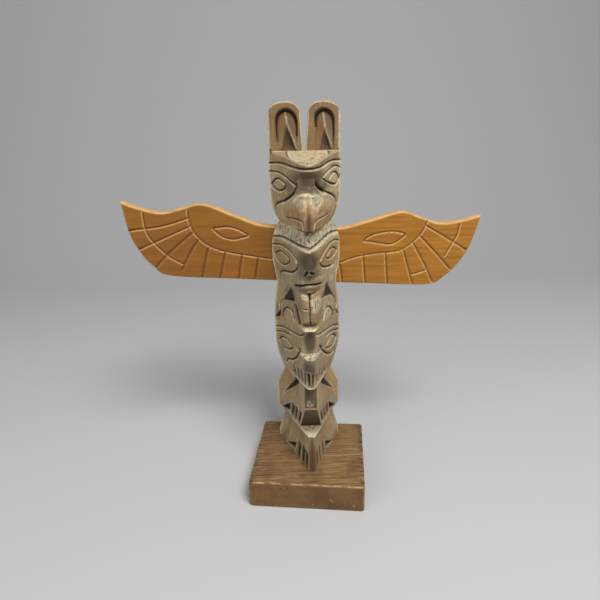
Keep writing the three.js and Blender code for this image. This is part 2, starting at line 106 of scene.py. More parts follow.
# Carved lines: side (0 is both, 2 crosses the front edge), width, depth, how far the wood above
# the line is set back, how far that reaches, and the points
LINES = (
    (2, 1.6, 1.2, 0.3, 5, ((-21.9, 196.3), (-15.4, 197.1), (-9, 195.8), (-4, 195.2), (0, 195.3), (4, 195.2),
     (9, 195.6), (15.4, 197.7), (21.9, 197.4))),
    (-1, 1.4, 1.0, 0.2, 4, ((21.9, 191.5), (17.8, 191.7), (14.4, 190.9), (11.3, 189.2), (8.9, 187.4),
     (7.2, 186))),
    (1, 1.4, 1.0, 0.2, 4, ((21.9, 192.8), (19.3, 194.2), (16.5, 194), (13.4, 192.4), (9.8, 190.2),
     (8.6, 189.2))),
    (1, 1.2, 0.8, 0, 4, ((8.6, 189.2), (11.9, 186.6), (15.5, 184.2), (18.5, 183.6), (20.8, 186),
     (21.5, 189))),
    (-1, 2.4, 2.0, 0.9, 6, ((6.3, 186.6), (7.8, 182.6), (10.8, 178.9), (14.1, 175.8))),
    (-1, 1.8, 1.6, 0.7, 5, ((14.1, 175.8), (17.2, 174), (19.4, 172), (20.3, 169), (20.7, 165.4))),
    (1, 3.2, 2.3, 0.9, 6, ((5, 187.3), (6.6, 185.2), (8.5, 183.4), (10.4, 181.9))),
    (1, 1.9, 1.6, 0.8, 5, ((10.4, 181.9), (12.6, 180.6), (15.8, 178.5), (18.4, 176.2), (20, 172.4))),
    (-1, 1.2, 0.8, 0, 4, ((13.7, 166.2), (9.9, 167.3), (6.8, 167.6), (4.2, 167.2), (3.6, 166.4),
     (3.5, 162.6))),
    (1, 1.2, 0.8, 0, 4, ((14.7, 167.8), (11.3, 167.6), (7.7, 167.5), (4.7, 166.8), (3.8, 165.8),
     (3.6, 162.6))),
    (-1, 1.6, 1.1, 0.9, 7, ((21.6, 151), (16.8, 152.3), (12.2, 152.2), (8.2, 151.8), (4.6, 151.7),
     (2, 151.4), (0, 151.2))),
    (1, 1.6, 1.1, 0.9, 7, ((21.6, 153.4), (18.6, 153.9), (14.6, 153.8), (11.4, 153.2), (8, 152.4),
     (4.6, 151.8), (2, 151.4), (0, 151.2))),
    (-1, 1.3, 0.9, 0.1, 4, ((21.6, 145.9), (16.8, 147.6), (13, 147.3), (9.8, 145.9), (8, 144.3),
     (6.7, 142.4))),
    (1, 1.3, 0.9, 0.1, 4, ((21.4, 147.4), (18.6, 148.9), (15, 148.9), (12, 147.2), (9.6, 145.4), (8, 143.4),
     (7.3, 142))),
    (-1, 1.6, 1.2, 0.5, 4, ((6.9, 142), (6.6, 139.4), (8.4, 135.8), (10.6, 133.6), (13.8, 132.2),
     (17, 130.6), (18.4, 128.4), (18.8, 123.4))),
    (1, 1.6, 1.2, 0.4, 4, ((6.9, 141.8), (8, 138.8), (10.2, 136.6), (13, 135.2), (16.6, 133.8))),
    (-1, 1.0, 0.9, 0, 4, ((1.4, 113.8), (3.9, 113.6))),
    (1, 1.4, 1.0, 0.7, 4, ((9.9, 117), (13.6, 116.2), (17.2, 113.6), (19.4, 109.8), (20, 104.4),
     (19.3, 101))),
    (-1, 1.2, 1.0, 0.5, 4, ((17.6, 111), (18.8, 107), (18.6, 102))),
    (0, 1.5, 1.2, 0, 4, ((16.7, 99.2), (16.4, 103.6), (14.8, 107.2), (12.2, 108.4), (10.3, 106.6),
     (9.3, 103))),
    (-1, 1.3, 1.0, 0.3, 4, ((21.4, 88.2), (16.8, 91.4), (12, 92.8), (7.2, 94.4), (3.4, 96.4))),
    (1, 1.3, 1.0, 0.3, 4, ((21.4, 88.0), (16.8, 91.3), (12, 93), (7.2, 94.8), (4.4, 96))),
    (0, 1.3, 0.9, 0.1, 4, ((21.4, 84.6), (17, 87.6), (14.2, 88.8), (11.8, 88.8))),
    (-1, 1.6, 1.3, 0.5, 4, ((6.2, 86.4), (7.2, 82.8), (8.8, 78.4), (12, 73.4), (15.4, 70.2), (16.8, 66.4))),
    (1, 1.6, 1.3, 0.5, 4, ((6.4, 88), (7.6, 85), (9.6, 80.8), (12.6, 76.4), (15.8, 73), (18, 71.6))),
    (0, 1.2, 1.0, 0, 4, ((11.4, 66.8), (11.9, 64.6))),
)

# Slits darkened with painted shade, without a lip: side, width, depth and ends
SLITS = (
    (2, 0.8, 1.6, ((0, 123.4), (-0.3, 119), (0.3, 114), (0.1, 109), (0.5, 103.2))),
    (2, 2.4, 2.4, ((0, 122.8), (0, 120.2))),
    (2, 1.6, 1.6, ((-9.4, 126.2), (-4.6, 128.4), (0, 129.6), (4.6, 129), (9.4, 127.4))),
    (-1, 1.7, 1.4, ((1.5, 138.0), (3.2, 135.2))),
    (1, 1.7, 1.4, ((0.9, 137.8), (3.2, 136.2))),
    (-1, 4.2, 2.8, ((9.0, 112.2), (6.9, 104.4))),
    (-1, 1.8, 1.5, ((10.9, 109.8), (9.9, 104.6))),
    (1, 2.0, 1.8, ((10.2, 112), (8.8, 104.6))),
)

# Soft hollows along a line: side, width, depth and points
VALLEYS = (
    (2, 4.6, 1.5, ((0.8, 180), (0.6, 174), (0.2, 168), (0, 161.5))),
    (1, 3.0, 1.2, ((2.0, 181.0), (3.8, 177.6), (5.8, 174.6))),
    (-1, 3.0, 0.5, ((3.2, 170.8), (5.6, 169.6), (9.2, 170.2))),
    (1, 3.0, 0.5, ((3.4, 171.2), (6.2, 170), (9.6, 170.8))),
    (2, 2.6, 0.7, ((-9.6, 131.4), (-5, 133.2), (0, 134), (5, 133.6), (9, 132.2))),
    (2, 2.4, 0.6, ((-6.8, 124.4), (0, 125.6), (6.8, 124.8))),
)

# Eyes: side, width, depth and corners
EYES = (
    (-1, 1.5, 1.2, ((20.8, 183.9), (17.4, 187.9), (14, 186.9), (12.2, 184.8), (13.9, 182.2), (16.2, 181.2),
     (18.6, 182))),
    (1, 1.5, 1.2, ((13.4, 186.3), (15.2, 189.4), (17.6, 191), (19.9, 189.4), (20.8, 186.8), (19.6, 184.6),
     (17.2, 184))),
    (-1, 1.3, 1.0, ((20, 139.2), (18.2, 142.6), (15.8, 143.6), (12.8, 142.4), (11.2, 140.4), (12.6, 137.6),
     (16.2, 135.8))),
    (1, 1.3, 1.0, ((11.9, 141.4), (13.4, 143.8), (15.8, 145), (18.4, 143.8), (19.2, 141.6), (16.6, 139.8),
     (13.6, 139.6))),
    (-1, 1.3, 1.0, ((19.3, 80.2), (17.8, 83.2), (15.3, 84.6), (12.4, 84), (10.9, 82.6), (13.2, 79.4),
     (17.2, 77.6))),
    (1, 1.3, 1.0, ((19.3, 80.9), (17.8, 84), (15.3, 85.4), (12.6, 83.8), (11.4, 81.6), (13.6, 79.4),
     (17.2, 78.4))),
)

# Teeth, fingers and toes are slits: across, top and foot, with a width for each side
TOOTH_WIDTH = {-1: 3.0, 1: 2.5}
TOE_WIDTH = {-1: 3.6, 1: 2.4}
TOOTH_DEPTH = 1.9
TEETH = ((2.2, 71.8, 66), (4.3, 70.8, 65.6), (6.5, 71.2, 65.4), (8.6, 69.8, 64.6), (11, 70, 64.8))
FINGERS = ((7.2, 38.7, 30.8), (9.5, 39, 30.2), (11.6, 38.4, 30))
TOOTH_LEAN = 0.1
FINGER_LEAN = 1.2
TOES = ((4.2, 11.6, 1.0), (6.4, 12.8, 0.6), (8.9, 11.6, 0.6))

# Hollows, darkened with painted shade as they sink: side, corners and the depth of each corner
HOLLOWS = (
    (-1, ((12, 123.8), (9.5, 115.8), (17.4, 110.8)), (1.6, 3.4, 1.2)),
    (1, ((12.8, 126.2), (11, 116.8), (19, 112.6)), (1.2, 2.6, 0.8)),
    (-1, ((21.9, 94.6), (18.3, 98.1), (18.1, 105)), (1.6, 2.2, 0.8)),
    (1, ((21.9, 96), (19.4, 98.3), (19.2, 103.5)), (1.0, 1.4, 0.6)),
    (-1, ((11.8, 62.2), (8.8, 60.2), (17, 41.8)), (3.4, 3.8, 1.2)),
    (1, ((12.4, 62), (9.4, 59.2), (17, 43.4)), (3.0, 3.4, 1.0)),
    (0, ((13.2, 38.4), (14.0, 31.2), (19.3, 27.2)), (0.8, 3.2, 2.8)),
    (0, ((10.8, 9.6), (11.2, 4.0), (16.6, 0.4)), (0.8, 3.0, 2.0)),
)
# The belly's flat panel: half widths and heights at the top and foot, then its depths there
BELLY = (5.2, 3.8, 60.8, 45.6, 36.4, 38.6)

# Raised rims, pale from wear and a painted highlight: width, rise and points across the front edge
RIMS = (
    (1.5, 0.6, ((-15, 61.8), (-8, 62.7), (0, 62.9), (8, 62.7), (15, 61.8))),
    (1.5, 0.55, ((-8.2, 176.6), (-5.6, 180.2), (-2.4, 181.6), (0.8, 181.4), (2.2, 180.4))),
    (1.3, 0.4, ((2.6, 180.6), (4.8, 180.9), (7.2, 179))),
    (0.9, 0.3, ((-13, 27), (-6, 27.4), (0, 27.4), (6, 27.4), (13, 27))),
)

# Patches: side, middle across, middle height, reach across, reach up, strength
CHIPPED = (
    (2, 0, 155.8, 34, 6.4, 1.0), (-1, 4.2, 176.8, 3.6, 5.0, 0.45), (1, 5.4, 177.8, 4.4, 4.2, 0.9),
    (1, 4.4, 173, 2.4, 3.6, 0.45), (2, 0, 83.2, 10.4, 1.2, 0.85), (2, 0, 28.2, 8, 1.9, 0.26),
    (2, -0.6, 48.8, 3.4, 2.6, 0.35), (1, 4.6, 116.4, 5, 6.5, 0.6), (-1, 3, 121.2, 3.2, 1.8, 0.9),
    (2, 0, 101.3, 6.0, 0.8, 1.0), (1, 18, 129, 4, 8, 0.6), (1, 13, 109, 5, 9, 0.35),
    (0, 8.6, 160.6, 5, 3, 0.4),
)
# Stain, with painted shade on the sunk saddle between the eyes, under the mouth and in the beak's right
# hollow
STAINED_AND_SHADED = (
    (2, 0, 188.4, 13.4, 9.8, 1.0), (2, 0.2, 163.0, 3.6, 13, 1.0), (2, 0, 143.6, 7.6, 10.4, 1.0),
    (2, 0, 136.4, 7.8, 6, 0.9), (2, 0, 125.6, 9.4, 2.6, 0.7), (2, 0, 91.6, 5.2, 10.2, 1.0),
    (2, -0.8, 74.6, 5.0, 10.4, 1.0), (2, 0, 65.4, 3.2, 6.4, 0.9), (2, 0, 104.0, 6.8, 2.8, 1.0),
    (0, 12.4, 118, 4, 6, 0.6), (2, 0, 10, 3.4, 25, 1.0), (-1, 21, 100, 3, 8, 0.7), (-1, 18, 24, 6, 10, 0.3),
    (0, 10.4, 184.6, 3, 6, 0.7), (2, 0, 28.2, 9, 2.4, 0.8), (1, 3.2, 178, 2.0, 3.6, 0.5),
    (0, 4, 110, 8, 9, 0.35),
)
# Painted shade in the recesses under overhangs: below the beak and below the ledge near 100 mm up
SHADE_UNDER_LEDGES = ((2, 0, 161.4, 12, 1.0, 0.8), (2, 0, 98.8, 5.0, 0.9, 0.8))
# Flat cuts across the front edge: half widths and heights at the top and foot, stain, and painted shade that
# grows towards the foot
PANELS = ((5.2, 3.8, 60.6, 45.8, 0.95, 0.12), (3.9, 6.8, 45.2, 28.8, 0.9, 0.88))
WARM = (
    (2, 0, 13, 3.0, 17, 1.0), (2, 0, 169, 18, 10, 0.9), (1, 12, 144, 8, 9, 0.8), (0, 15, 48, 8, 12, 0.8),
    (2, 0, 104, 6.5, 3, 0.7), (2, 0, 201, 34, 6, 0.6), (1, 12, 20, 8, 10, 0.7), (2, 0, 149, 3.8, 3.6, 1.0),
    (-1, 10, 20, 6, 8, 0.5), (1, 12, 68, 6, 7, 0.6), (-1, 15, 178, 6, 5, 0.5), (2, 0.5, 69, 2.2, 9, 0.9),
    (0, 12, 116, 9, 6, 0.5), (-1, 14, 140, 5, 6, 0.4), (0, 14, 82, 6, 5, 0.4), (0, 4, 113, 8, 12, 0.4),
    (2, 0, 187, 14, 9, 0.45),
)

# Across a cut, in widths: how far it reaches, its upper and lower wall, and then its painted shade, its pale
# lip with wear and a painted highlight, and the swelling below it, each with its middle, half width, reach
# and strength
CUT_FIELD = 2.2
CUT_WALLS = (0.36, 0.74)
CUT_DARK = (0.06, 0.34, 0.48, 1.35)
CUT_LIP = (0.62, 0.20, 1.4, 1.0)
CUT_CREST = (0.85, 0.42, 2.0, 0.16)
SLIT_LIP = (0.78, 0.2, 0.3)
# Softness of the panels' edges and of the stain and shade patches, and how far painted shade spreads around
# the cuts
PANEL_EDGE = 0.4
PATCH_FALLOFF = 1.9
CUT_SHADE_STRENGTH = 2.4
CUT_SHADE_REACH = (6, 3)
# Wear of the log's left and right corners, where the stain is faded, and above which height the body's right
# side gets painted light
CORNER_WEAR = 1.2
FADED_HEAD = 160.0
BODY_LIGHT_FROM = 105.0

# Columns of the flat back, as shares of its half width, and how far down the ears' colour reaches
BACK_SHARES = np.array((-1, -0.96, -0.7, -0.35, 0, 0.35, 0.7, 0.96, 1))
BACK_BLEND = 45.0

# The front's rows are level up to here, and then lean towards the sloping top of the head, which
# has rows of its own
LEVEL_TOP = 185.0
TOP_ROWS = 22

# The pale chip across the top of the head
MOON_HALF = 11.4
MOON_DEPTH = 30.5
MOON_X = 1.6
# The middle of the head's front edge is cut lower, and its top rows get a painted highlight
CREST_DIP = 1.8
CREST_HALF = 13.0
CREST_ROWS = 3
CREST_HIGHLIGHT = 0.95

# Ears
EAR_COLUMNS = 54
EAR_ROWS = 70
EAR_SUNK = 1.5
EAR_LINE_REACH = 30.0
EAR_ARCH_SPRING = 219.5
# Where the ears' marks start, over how far they grow, and what there is of them below; the dark marks are
# painted shade
EAR_LINE_THICK = (217, 8)
EAR_LINE_DARK = (204, 8, 0.25)
EAR_DEEP = (205, 18)
EAR_HOLLOW_DARK = (201.5, 5, 0.4)
EAR_FLOOR_SHADE = (204, 12, 0.3)
EAR_THICKNESS = 4.5
EAR_SLOT_FOOT = 0.8
EAR_ROUNDING = 0.7
EAR_SLOT_TOP = 2.1
EAR_SPRING = 222.0
EAR_CROWN = 10.8
EAR_STAIN = 0.48
EAR_ARCH = {
    -1: ((16.0, 209), (16.3, 215), (16.2, 220.4), (14.9, 224), (11.7, 226), (8.1, 225.4), (5.5, 222.6),
     (4.4, 218.2), (4.3, 212)),
    1: ((6.9, 217), (7.0, 222.2), (7.9, 224.4), (10.9, 226), (14.4, 225), (16.7, 222.2), (17.4, 217.6),
     (17.5, 203.6)),
}
# The bright edge inside each ear, which gets a painted highlight, then the soft edge, from the top down
EAR_FORK = {
    -1: (((11.0, 225.0), (9.9, 217.8), (4.9, 204.0)), ((11.2, 218), (12.2, 211), (13.5, 204.0))),
    1: (((11.4, 224.4), (12.5, 215.5), (16.3, 204.0)), ((11.3, 216.5), (10.4, 210), (9.4, 204.0))),
}

# Wing board
WING_SPAN = 229.5
WING_THICKNESS = 7.0
WING_EDGE = 1.3
WING_HEIGHT = 137.7
WING_SHIFT = -3.5
WING_TILT = 3.5
WING_TOP = (
    (0, 18.4), (25, 18.8), (43, 24.2), (63, 30.6), (76, 27.6), (89, 24.4), (102, 26.2), (114.8, 30.2),
)
WING_FOOT = (
    (0, -18.4), (42, -18.2), (85.4, -17.6), (96.5, -11.6), (104, -3.3), (110.6, 9.7), (114.8, 30.2),
)
WING_CUT_WIDTH = 1.35
WING_CUT_DEPTH = 0.8
# The cuts of the left wing's lower feathers are wider and have no bright lip, only a faint painted highlight
DULL_FROM = 4
DULL_CUT_WIDTH = 2.0
DULL_LIP = 0.12
LEFT_WING_LINES = (
    ((-72.7, 25.8), (-71.6, 18), (-67.5, 10.4), (-60, 4.2), (-49.5, 0.7), (-34, -1.6), (-19, -3.3)),
    ((-101, 24), (-99.9, 13.5), (-96.1, 5.9), (-86.2, -3.8), (-76.9, -9)),
    ((-72.8, 21.5), (-90, 15.6), (-112.4, 11.9)),
    ((-71.7, 16.3), (-93.3, 5.6), (-106.2, -0.6)),
    ((-70.4, 12.1), (-86.8, -2.8), (-95.5, -12.4)),
    ((-66.8, 7.3), (-72, -0.8), (-77.8, -12.8)),
    ((-60.7, 1.8), (-64.8, -18.2)),
    ((-49.5, -0.4), (-52.9, -18.2)),
    ((-38.5, -1.8), (-40.7, -18.2)),
    ((-27.9, -2.9), (-29.6, -18.2)),
)
LEFT_WING_EYE = (
    (-56.8, 15.4), (-53.4, 16.1), (-47.8, 16.9), (-41.6, 15.7), (-34.7, 12), (-38.9, 10.1), (-43.7, 8.9),
    (-49.3, 9.7), (-53.5, 12.1),
)
RIGHT_WING_LINES = (
    ((80.8, 25.8), (77.3, 17.2), (71, 10), (63.6, 5.2), (48.7, 2.9), (36, 0), (25.8, -4.2)),
    ((25.8, -4.2), (27, -9.4), (28.7, -18.2)),
    ((101.7, 24), (101, 17.4), (98.8, 11.9), (94.8, 2.8)),
    ((79.9, 22.6), (98.6, 12.9), (108.8, 7.4)),
    ((76.8, 15.8), (87.5, 6), (100, -6.1)),
    ((73, 10.9), (81.9, -2.5), (89, -14.9)),
    ((67.2, 5.9), (73.2, -9.9), (76.2, -18)),
    ((55.7, 3.5), (59, -18.2)),
    ((41.1, 1.2), (44.1, -18.2)),
    ((74.7, -10.6), (79.3, -9), (83.8, -7.1)),
)
RIGHT_WING_EYE = (
    (40.6, 11.1), (44.9, 14.6), (51.3, 16.9), (57.9, 17.8), (63.2, 17.6), (67.1, 16.1), (61.9, 11.2),
    (57.5, 9.4), (52, 9.8), (45.3, 10.6),
)

# Base block: points along its edges, seed, then the scale and depth of its marks
BLOCK_MESH = (130, 170, 36)
BLOCK_SEED = 3.0
WORN_SHARPNESS = 3.0
RIDGE_SCALE = (30.0, 700.0, 620.0)
DENT_SCALE = (210.0, 210.0, 260.0)
DENT_DEPTH = 3.5
NOTCH_SCALE = (90.0, 480.0, 60.0)
NOTCH_DEPTH = 6.0
NOTCH_REACH = 0.0046
NOTCH_RARITY = 0.47
NOTCH_SHARPNESS = 9.0
# Scratches on the front of the base: across, up, slant and length
SCRATCHES = ((16.4, 8.0, 0.98, 5.4), (-14.6, 16.4, 1.5, 1.6), (31.0, 4.6, 1.1, 3.0), (4.2, 4.2, 0.2, 1.5))
SCRATCH_WIDTH = 0.7
# Dark colour laid into the notches of the base's edges
NOTCH_DARK = (0.030, 0.020, 0.012)

# The camera stands where the photograph was taken from
PHOTO_SIDE = 600
PHOTO_FOCUS = 471.4
CAMERA_PLACE = (-7.4, -278.8, 237.2)
CAMERA_YAW = 0.010
CAMERA_PITCH = 0.353
CAMERA_ROLL = -0.022

# Floor in metres: half width, front, back, height, radius of the bend, its steps, gap below the base
FLOOR = (2.6, -2.0, 0.95, 2.2, 0.5, 12, 0.0001)
KEY_PLACE = (0.26, -0.52, 0.98)
FILL_PLACE = (-0.75, -0.8, 0.55)
LIT_POINT = (0, 0, 0.12)


# Settings


def colour(name, text, *shade):
    """A colour setting."""
    return FloatVectorProperty(name=name, description=text, size=3, subtype="COLOR", default=shade)


def length(name, text, size):
    """A length setting, from a size in millimetres."""
    return FloatProperty(name=name, description=text, default=size * MM, subtype="DISTANCE", precision=5)


class LogSettings(bpy.types.PropertyGroup):
    """Sizes and colours of the carved log"""

    column_step: length("Column Step", "Mesh spacing across the front", 0.52)
    row_step: length("Row Step", "Mesh spacing up the front", 0.53)
    chip_depth: length("Chip Depth", "Depth of the rough chisel marks", 0.42)
    wood: colour("Wood", "Khaki stained wood", 0.405, 0.302, 0.157)
    grey: colour("Grey Wood", "Greyer clouds in the stain", 0.285, 0.245, 0.165)
    # Also painted light on the log's right side
    faded_and_lit: colour("Faded Wood", "Lighter stain on the upper figures", 0.680, 0.520, 0.310)
    amber: colour("Amber Wood", "Warmer patches where the stain is thin", 0.360, 0.200, 0.072)
    rust: colour("Rust Stain", "Redder stain on warm wood", 0.096, 0.043, 0.022)
    # Also painted shade around the cuts, in the middle of the gouge scoops and in a few recesses
    stain: colour("Stain", "Stain on the noses and between the eyes", 0.066, 0.046, 0.029)
    chip: colour("Chipped Wood", "Bare wood where it is chipped", 0.740, 0.670, 0.470)
    # Painted shade in the cuts, the hollows and under overhangs
    dark: colour("Dark Cuts", "Dirt in the cuts and hollows", 0.014, 0.009, 0.006)
    # Worn edges, and painted highlights on the lips of the cuts, the rims and the edges of the head and ears
    pale: colour("Pale Lips", "Worn edges and the lips of the cuts", 0.640, 0.560, 0.390)


class WingSettings(bpy.types.PropertyGroup):
    """Sizes and colours of the wing board"""

    columns: IntProperty(name="Columns", description="Mesh columns along the wings", default=400)
    rows: IntProperty(name="Rows", description="Mesh rows up the wings", default=84)
    wood: colour("Wood", "Golden stained wood", 0.400, 0.172, 0.024)
    # Also painted shade in the cut lines and over the left wing
    dark: colour("Dark Wood", "Darker grain and cut lines", 0.120, 0.042, 0.009)
    # Worn edges, and painted highlights on the lips of the cuts
    pale: colour("Pale Edges", "Worn edges", 0.780, 0.500, 0.210)


class BaseSettings(bpy.types.PropertyGroup):
    """Sizes and colours of the base block"""

    width: length("Width", "Side to side", 76)
    depth: length("Depth", "Front to back", 69.7)
    height: length("Height", "Thickness of the block", BASE_HEIGHT)
    edge: length("Edge", "Radius of the worn edges", 1.5)
    grain: length("Grain", "Depth of the raised grain", 0.16)
    turn: FloatProperty(name="Turn", description="How far the base is turned against the log",
                        default=math.radians(-6.2), subtype="ANGLE")
    wood: colour("Wood", "Stained wood", 0.290, 0.168, 0.070)
    # Also painted shade on the upright faces
    dark: colour("Dark Wood", "Dark grain", 0.078, 0.034, 0.014)
    # Worn edges, and painted glints on the raised grain of the top
    pale: colour("Pale Edges", "Worn edges", 0.520, 0.350, 0.160)


class StageSettings(bpy.types.PropertyGroup):
    """Floor and light"""

    floor: colour("Floor", "Floor colour", 0.54, 0.54, 0.54)
    key: FloatProperty(name="Key Light", description="Power of the overhead light", default=11.0)
    fill: FloatProperty(name="Fill Light", description="Power of the front light", default=4.2)
    sky: FloatProperty(name="Sky", description="Strength of the surrounding light", default=0.22)


# Curves and fields


def part_of(value, whole):
    """A value as a share of a whole, from 0 to 1."""
    return np.clip(value / whole, 0, 1)


def grown(height, start, over, least=0):
    """0 or the least below a height, and 1 from some way above it."""
    return np.clip((height - start) / over, least, 1)


def bell(offset, width):
    """A soft hump that is 1 where the offset is 0."""
    return np.exp(-(offset / width) ** 2)


def rounding(rim, radius):
    """How far a rounded edge falls back at a distance from its rim."""
    gap = np.clip(radius - rim, 0, radius)
    return radius - np.sqrt(np.maximum(0, radius ** 2 - gap ** 2))


def smooth_curve(points, step=CURVE_STEP, closed=False):
    """Points on a smooth spline through the given ones, about step apart."""
    points = np.array(points, float)
    if len(points) == 2:
        count = max(2, int(np.hypot(*(points[1] - points[0])) / step) + 1)
        return points[0] + (points[1] - points[0]) * np.linspace(0, 1, count)[:, None]
    if closed:
        padded = np.vstack((points[-1], points, points[0], points[1]))
    else:
        padded = np.vstack((2 * points[0] - points[1], points, 2 * points[-1] - points[-2]))
    out = []
    for k in range(len(padded) - 3):
        p0, p1, p2, p3 = padded[k:k + 4]
        count = max(2, int(np.hypot(*(p2 - p1)) / step))
        t = np.linspace(0, 1, count, endpoint=False)[:, None]
        out.append(0.5 * (2 * p1 + (p2 - p0) * t + (2 * p0 - 5 * p1 + 4 * p2 - p3) * t ** 2
                          + (3 * p1 - p0 - 3 * p2 + p3) * t ** 3))
    out.append(points[:1] if closed else padded[-2:-1])
    return np.vstack(out)


def distance_to(curve, u, v, reach):
    """Distance from each (u, v) to a polyline, and the height of (u, v) above its nearest point."""
    best = np.full(u.shape, FAR_AWAY)
    above = np.zeros(u.shape)
    for a, b in zip(curve[:-1], curve[1:]):
        low = np.minimum(a, b) - reach
        high = np.maximum(a, b) + reach
        near = (u > low[0]) & (u < high[0]) & (v > low[1]) & (v < high[1])
        if not near.any():
            continue
        pu, pv = u[near], v[near]
        along = b - a
        t = np.clip(((pu - a[0]) * along[0] + (pv - a[1]) * along[1]) / max(1e-9, along @ along), 0, 1)
        du = pu - (a[0] + t * along[0])
        dv = pv - (a[1] + t * along[1])
        dist = np.hypot(du, dv)
        closer = dist < best[near]
        index = np.flatnonzero(near)[closer]
        best.flat[index] = dist[closer]
        up = -1.0 if along[0] < -1e-6 else 1.0
        cross = (along[0] * dv - along[1] * du) * up
        above.flat[index] = np.sign(cross[closer]) * dist[closer]
    return best, above


def waves(*places, scale, seed):
    """Smooth noise from a sum of sines, about -1 to 1."""
    rng = np.random.default_rng(seed)
    total = np.zeros(places[0].shape)
    for _ in range(14):
        direction = rng.normal(size=len(places))
        direction *= rng.uniform(0.5, 1.6) / np.linalg.norm(direction)
        phase = rng.uniform(0, 2 * np.pi)
        total += np.sin(sum(p * d for p, d in zip(places, direction)) * 2 * np.pi / scale + phase)
    return total / 5.0


def facets(u, v, cell, seed):
    """Shallow scoops of random size, like the marks of a small gouge, from 0 to 1."""
    best = np.full(u.shape, FAR_AWAY)
    cu, cv = np.floor(u / cell), np.floor(v / cell)
    for du, dv in itertools.product((-1, 0, 1), repeat=2):
        iu, iv = cu + du, cv + dv
        ru, rv = (np.modf(np.abs(np.sin(iu * a + iv * b + seed)) * 43758.5453)[0]
                  for a, b in ((127.1, 311.7), (269.5, 183.3)))
        best = np.minimum(best, np.hypot(u - (iu + ru) * cell, v - (iv + rv) * cell))
    return np.clip(1 - (best / cell) ** 2, 0, 1)


def convolved(grid, kernel, axis):
    """A grid smoothed along one axis, with its ends drawn out."""
    return np.apply_along_axis(
        lambda row: np.convolve(np.pad(row, len(kernel) // 2, "edge"), kernel, "valid"), axis, grid)


def blurred(grid, wide, high):
    """A grid smoothed over a number of columns and rows."""
    for size, axis in ((wide, 1), (high, 0)) * 3:
        grid = convolved(grid, np.full(2 * size + 1, 1 / (2 * size + 1)), axis)
    return grid


# Carving


class Relief:
    """Cut depth and finish over a field of points (u, v), both in millimetres, with painted shade and
    painted highlights.
    """

    def __init__(self, u, v):
        self.u, self.v = u, v
        self.depth, self.rise, self.groove, self.lip = (np.zeros(u.shape) for _ in range(4))

    def most(self, **grids):
        """Lift each named grid to the given one, where that is larger."""
        for key, grid in grids.items():
            setattr(self, key, np.maximum(getattr(self, key), grid))

    def near(self, points, reach, closed=False):
        """Distance and height from a smooth curve, within reach of it."""
        return distance_to(smooth_curve(points, closed=closed), self.u, self.v, reach)

    def line(self, points, width, depth, set_back=0.0, reach=4.0, closed=False, bright=1.0):
        """A knife cut: painted shade on its steep upper wall, and a slack lower wall whose lip is pale from
        wear and a painted highlight.
        """
        dist, above = self.near(points, max(width * CUT_FIELD, reach if set_back else 0), closed)
        steep, slack = CUT_WALLS
        wall = np.where(above > 0, width * steep, width * slack)
        middle, half, far, full = CUT_DARK
        shade = np.clip(full - np.abs(above - width * middle) / (width * half), 0, 1)
        self.most(depth=depth * np.clip(1 - dist / wall, 0, 1) ** 0.9,
                  groove=np.where(dist < width * far, shade, 0))
        middle, half, far, full = CUT_LIP
        self.most(lip=bright * (full * bell(above + width * middle, width * half) * (dist < width * far)))
        middle, half, far, full = CUT_CREST
        self.most(rise=bell(above + width * middle, width * half) * (dist < width * far) * full * depth)
        if set_back:
            fall = set_back * np.clip(1 - dist / reach, 0, 1) ** 1.5
            self.depth = self.depth + np.where((above > 0) & (dist < reach), fall, 0)

    def slit(self, points, width, depth):
        """A narrow cut darkened with painted shade, with two equal walls and tapered ends."""
        dist, _ = self.near(points, width * 2)
        middle, half, bright = SLIT_LIP
        self.most(depth=depth * np.clip(1.15 - dist / (width * 0.5), 0, 1) ** 0.7,
                  groove=np.clip(1.7 - dist / (width * 0.32), 0, 1),
                  lip=bell(dist - width * middle, width * half) * bright)

    def valley(self, points, width, depth):
        """A soft dip with no edges."""
        dist, _ = self.near(points, width * 1.5)
        self.depth = self.depth + depth * bell(np.minimum(dist, 50), width * 0.5)

    def rim(self, points, width, rise):
        """A raised bead, pale from wear and a painted highlight."""
        dist, _ = self.near(points, width * 2)
        shape = np.clip(1 - dist / (width * 0.6), 0, 1) ** 0.6
        self.most(rise=rise * shape, lip=np.clip(1.3 * shape, 0, 1))

    def hollow(self, corners, depths):
        """A sunk triangle with a steep rim and a floor that slopes between its corners, darkened with
        painted shade as it sinks.
        """
        (x0, y0), (x1, y1), (x2, y2) = corners
        area = (x1 - x0) * (y2 - y0) - (x2 - x0) * (y1 - y0)
        b = ((self.u - x0) * (y2 - y0) - (x2 - x0) * (self.v - y0)) / area
        c = ((x1 - x0) * (self.v - y0) - (self.u - x0) * (y1 - y0)) / area
        shares = (1 - b - c, b, c)
        edge = np.minimum.reduce([share * abs(area) / math.dist(corners[k - 2], corners[k - 1])
                                  for k, share in enumerate(shares)])
        floor = sum(share * depth for share, depth in zip(shares, depths))
        sunk = part_of(edge + 0.25, 0.8) * np.clip(floor, 0, max(depths))
        self.most(depth=sunk, groove=np.clip(sunk / 1.2, 0, 0.92), lip=bell(edge + 0.5, 0.3) * 0.5)


def stretch(distance, times=LINE_STRETCH):
    """Distance along the steep face for a distance seen from the front."""
    ridge = RIDGE_WIDTH / 2
    size = np.abs(distance)
    return np.sign(distance) * np.where(size < ridge, size, ridge + (size - ridge) * times)


def sides_of(side):
    """The sides that a drawn feature is on."""
    return (-1, 1) if side == 0 else (side,)


def mirrored(points, side):
    """Points on the wanted side, along the face."""
    turn = 1 if side == 2 else side
    return [(float(stretch(np.array(turn * x))), y) for x, y in points]


def each_side(rows):
    """The sizes and the points of each drawn feature, once for every side that it is on."""
    for side, *sizes, points in rows:
        for one in sides_of(side):
            yield sizes, mirrored(points, one)


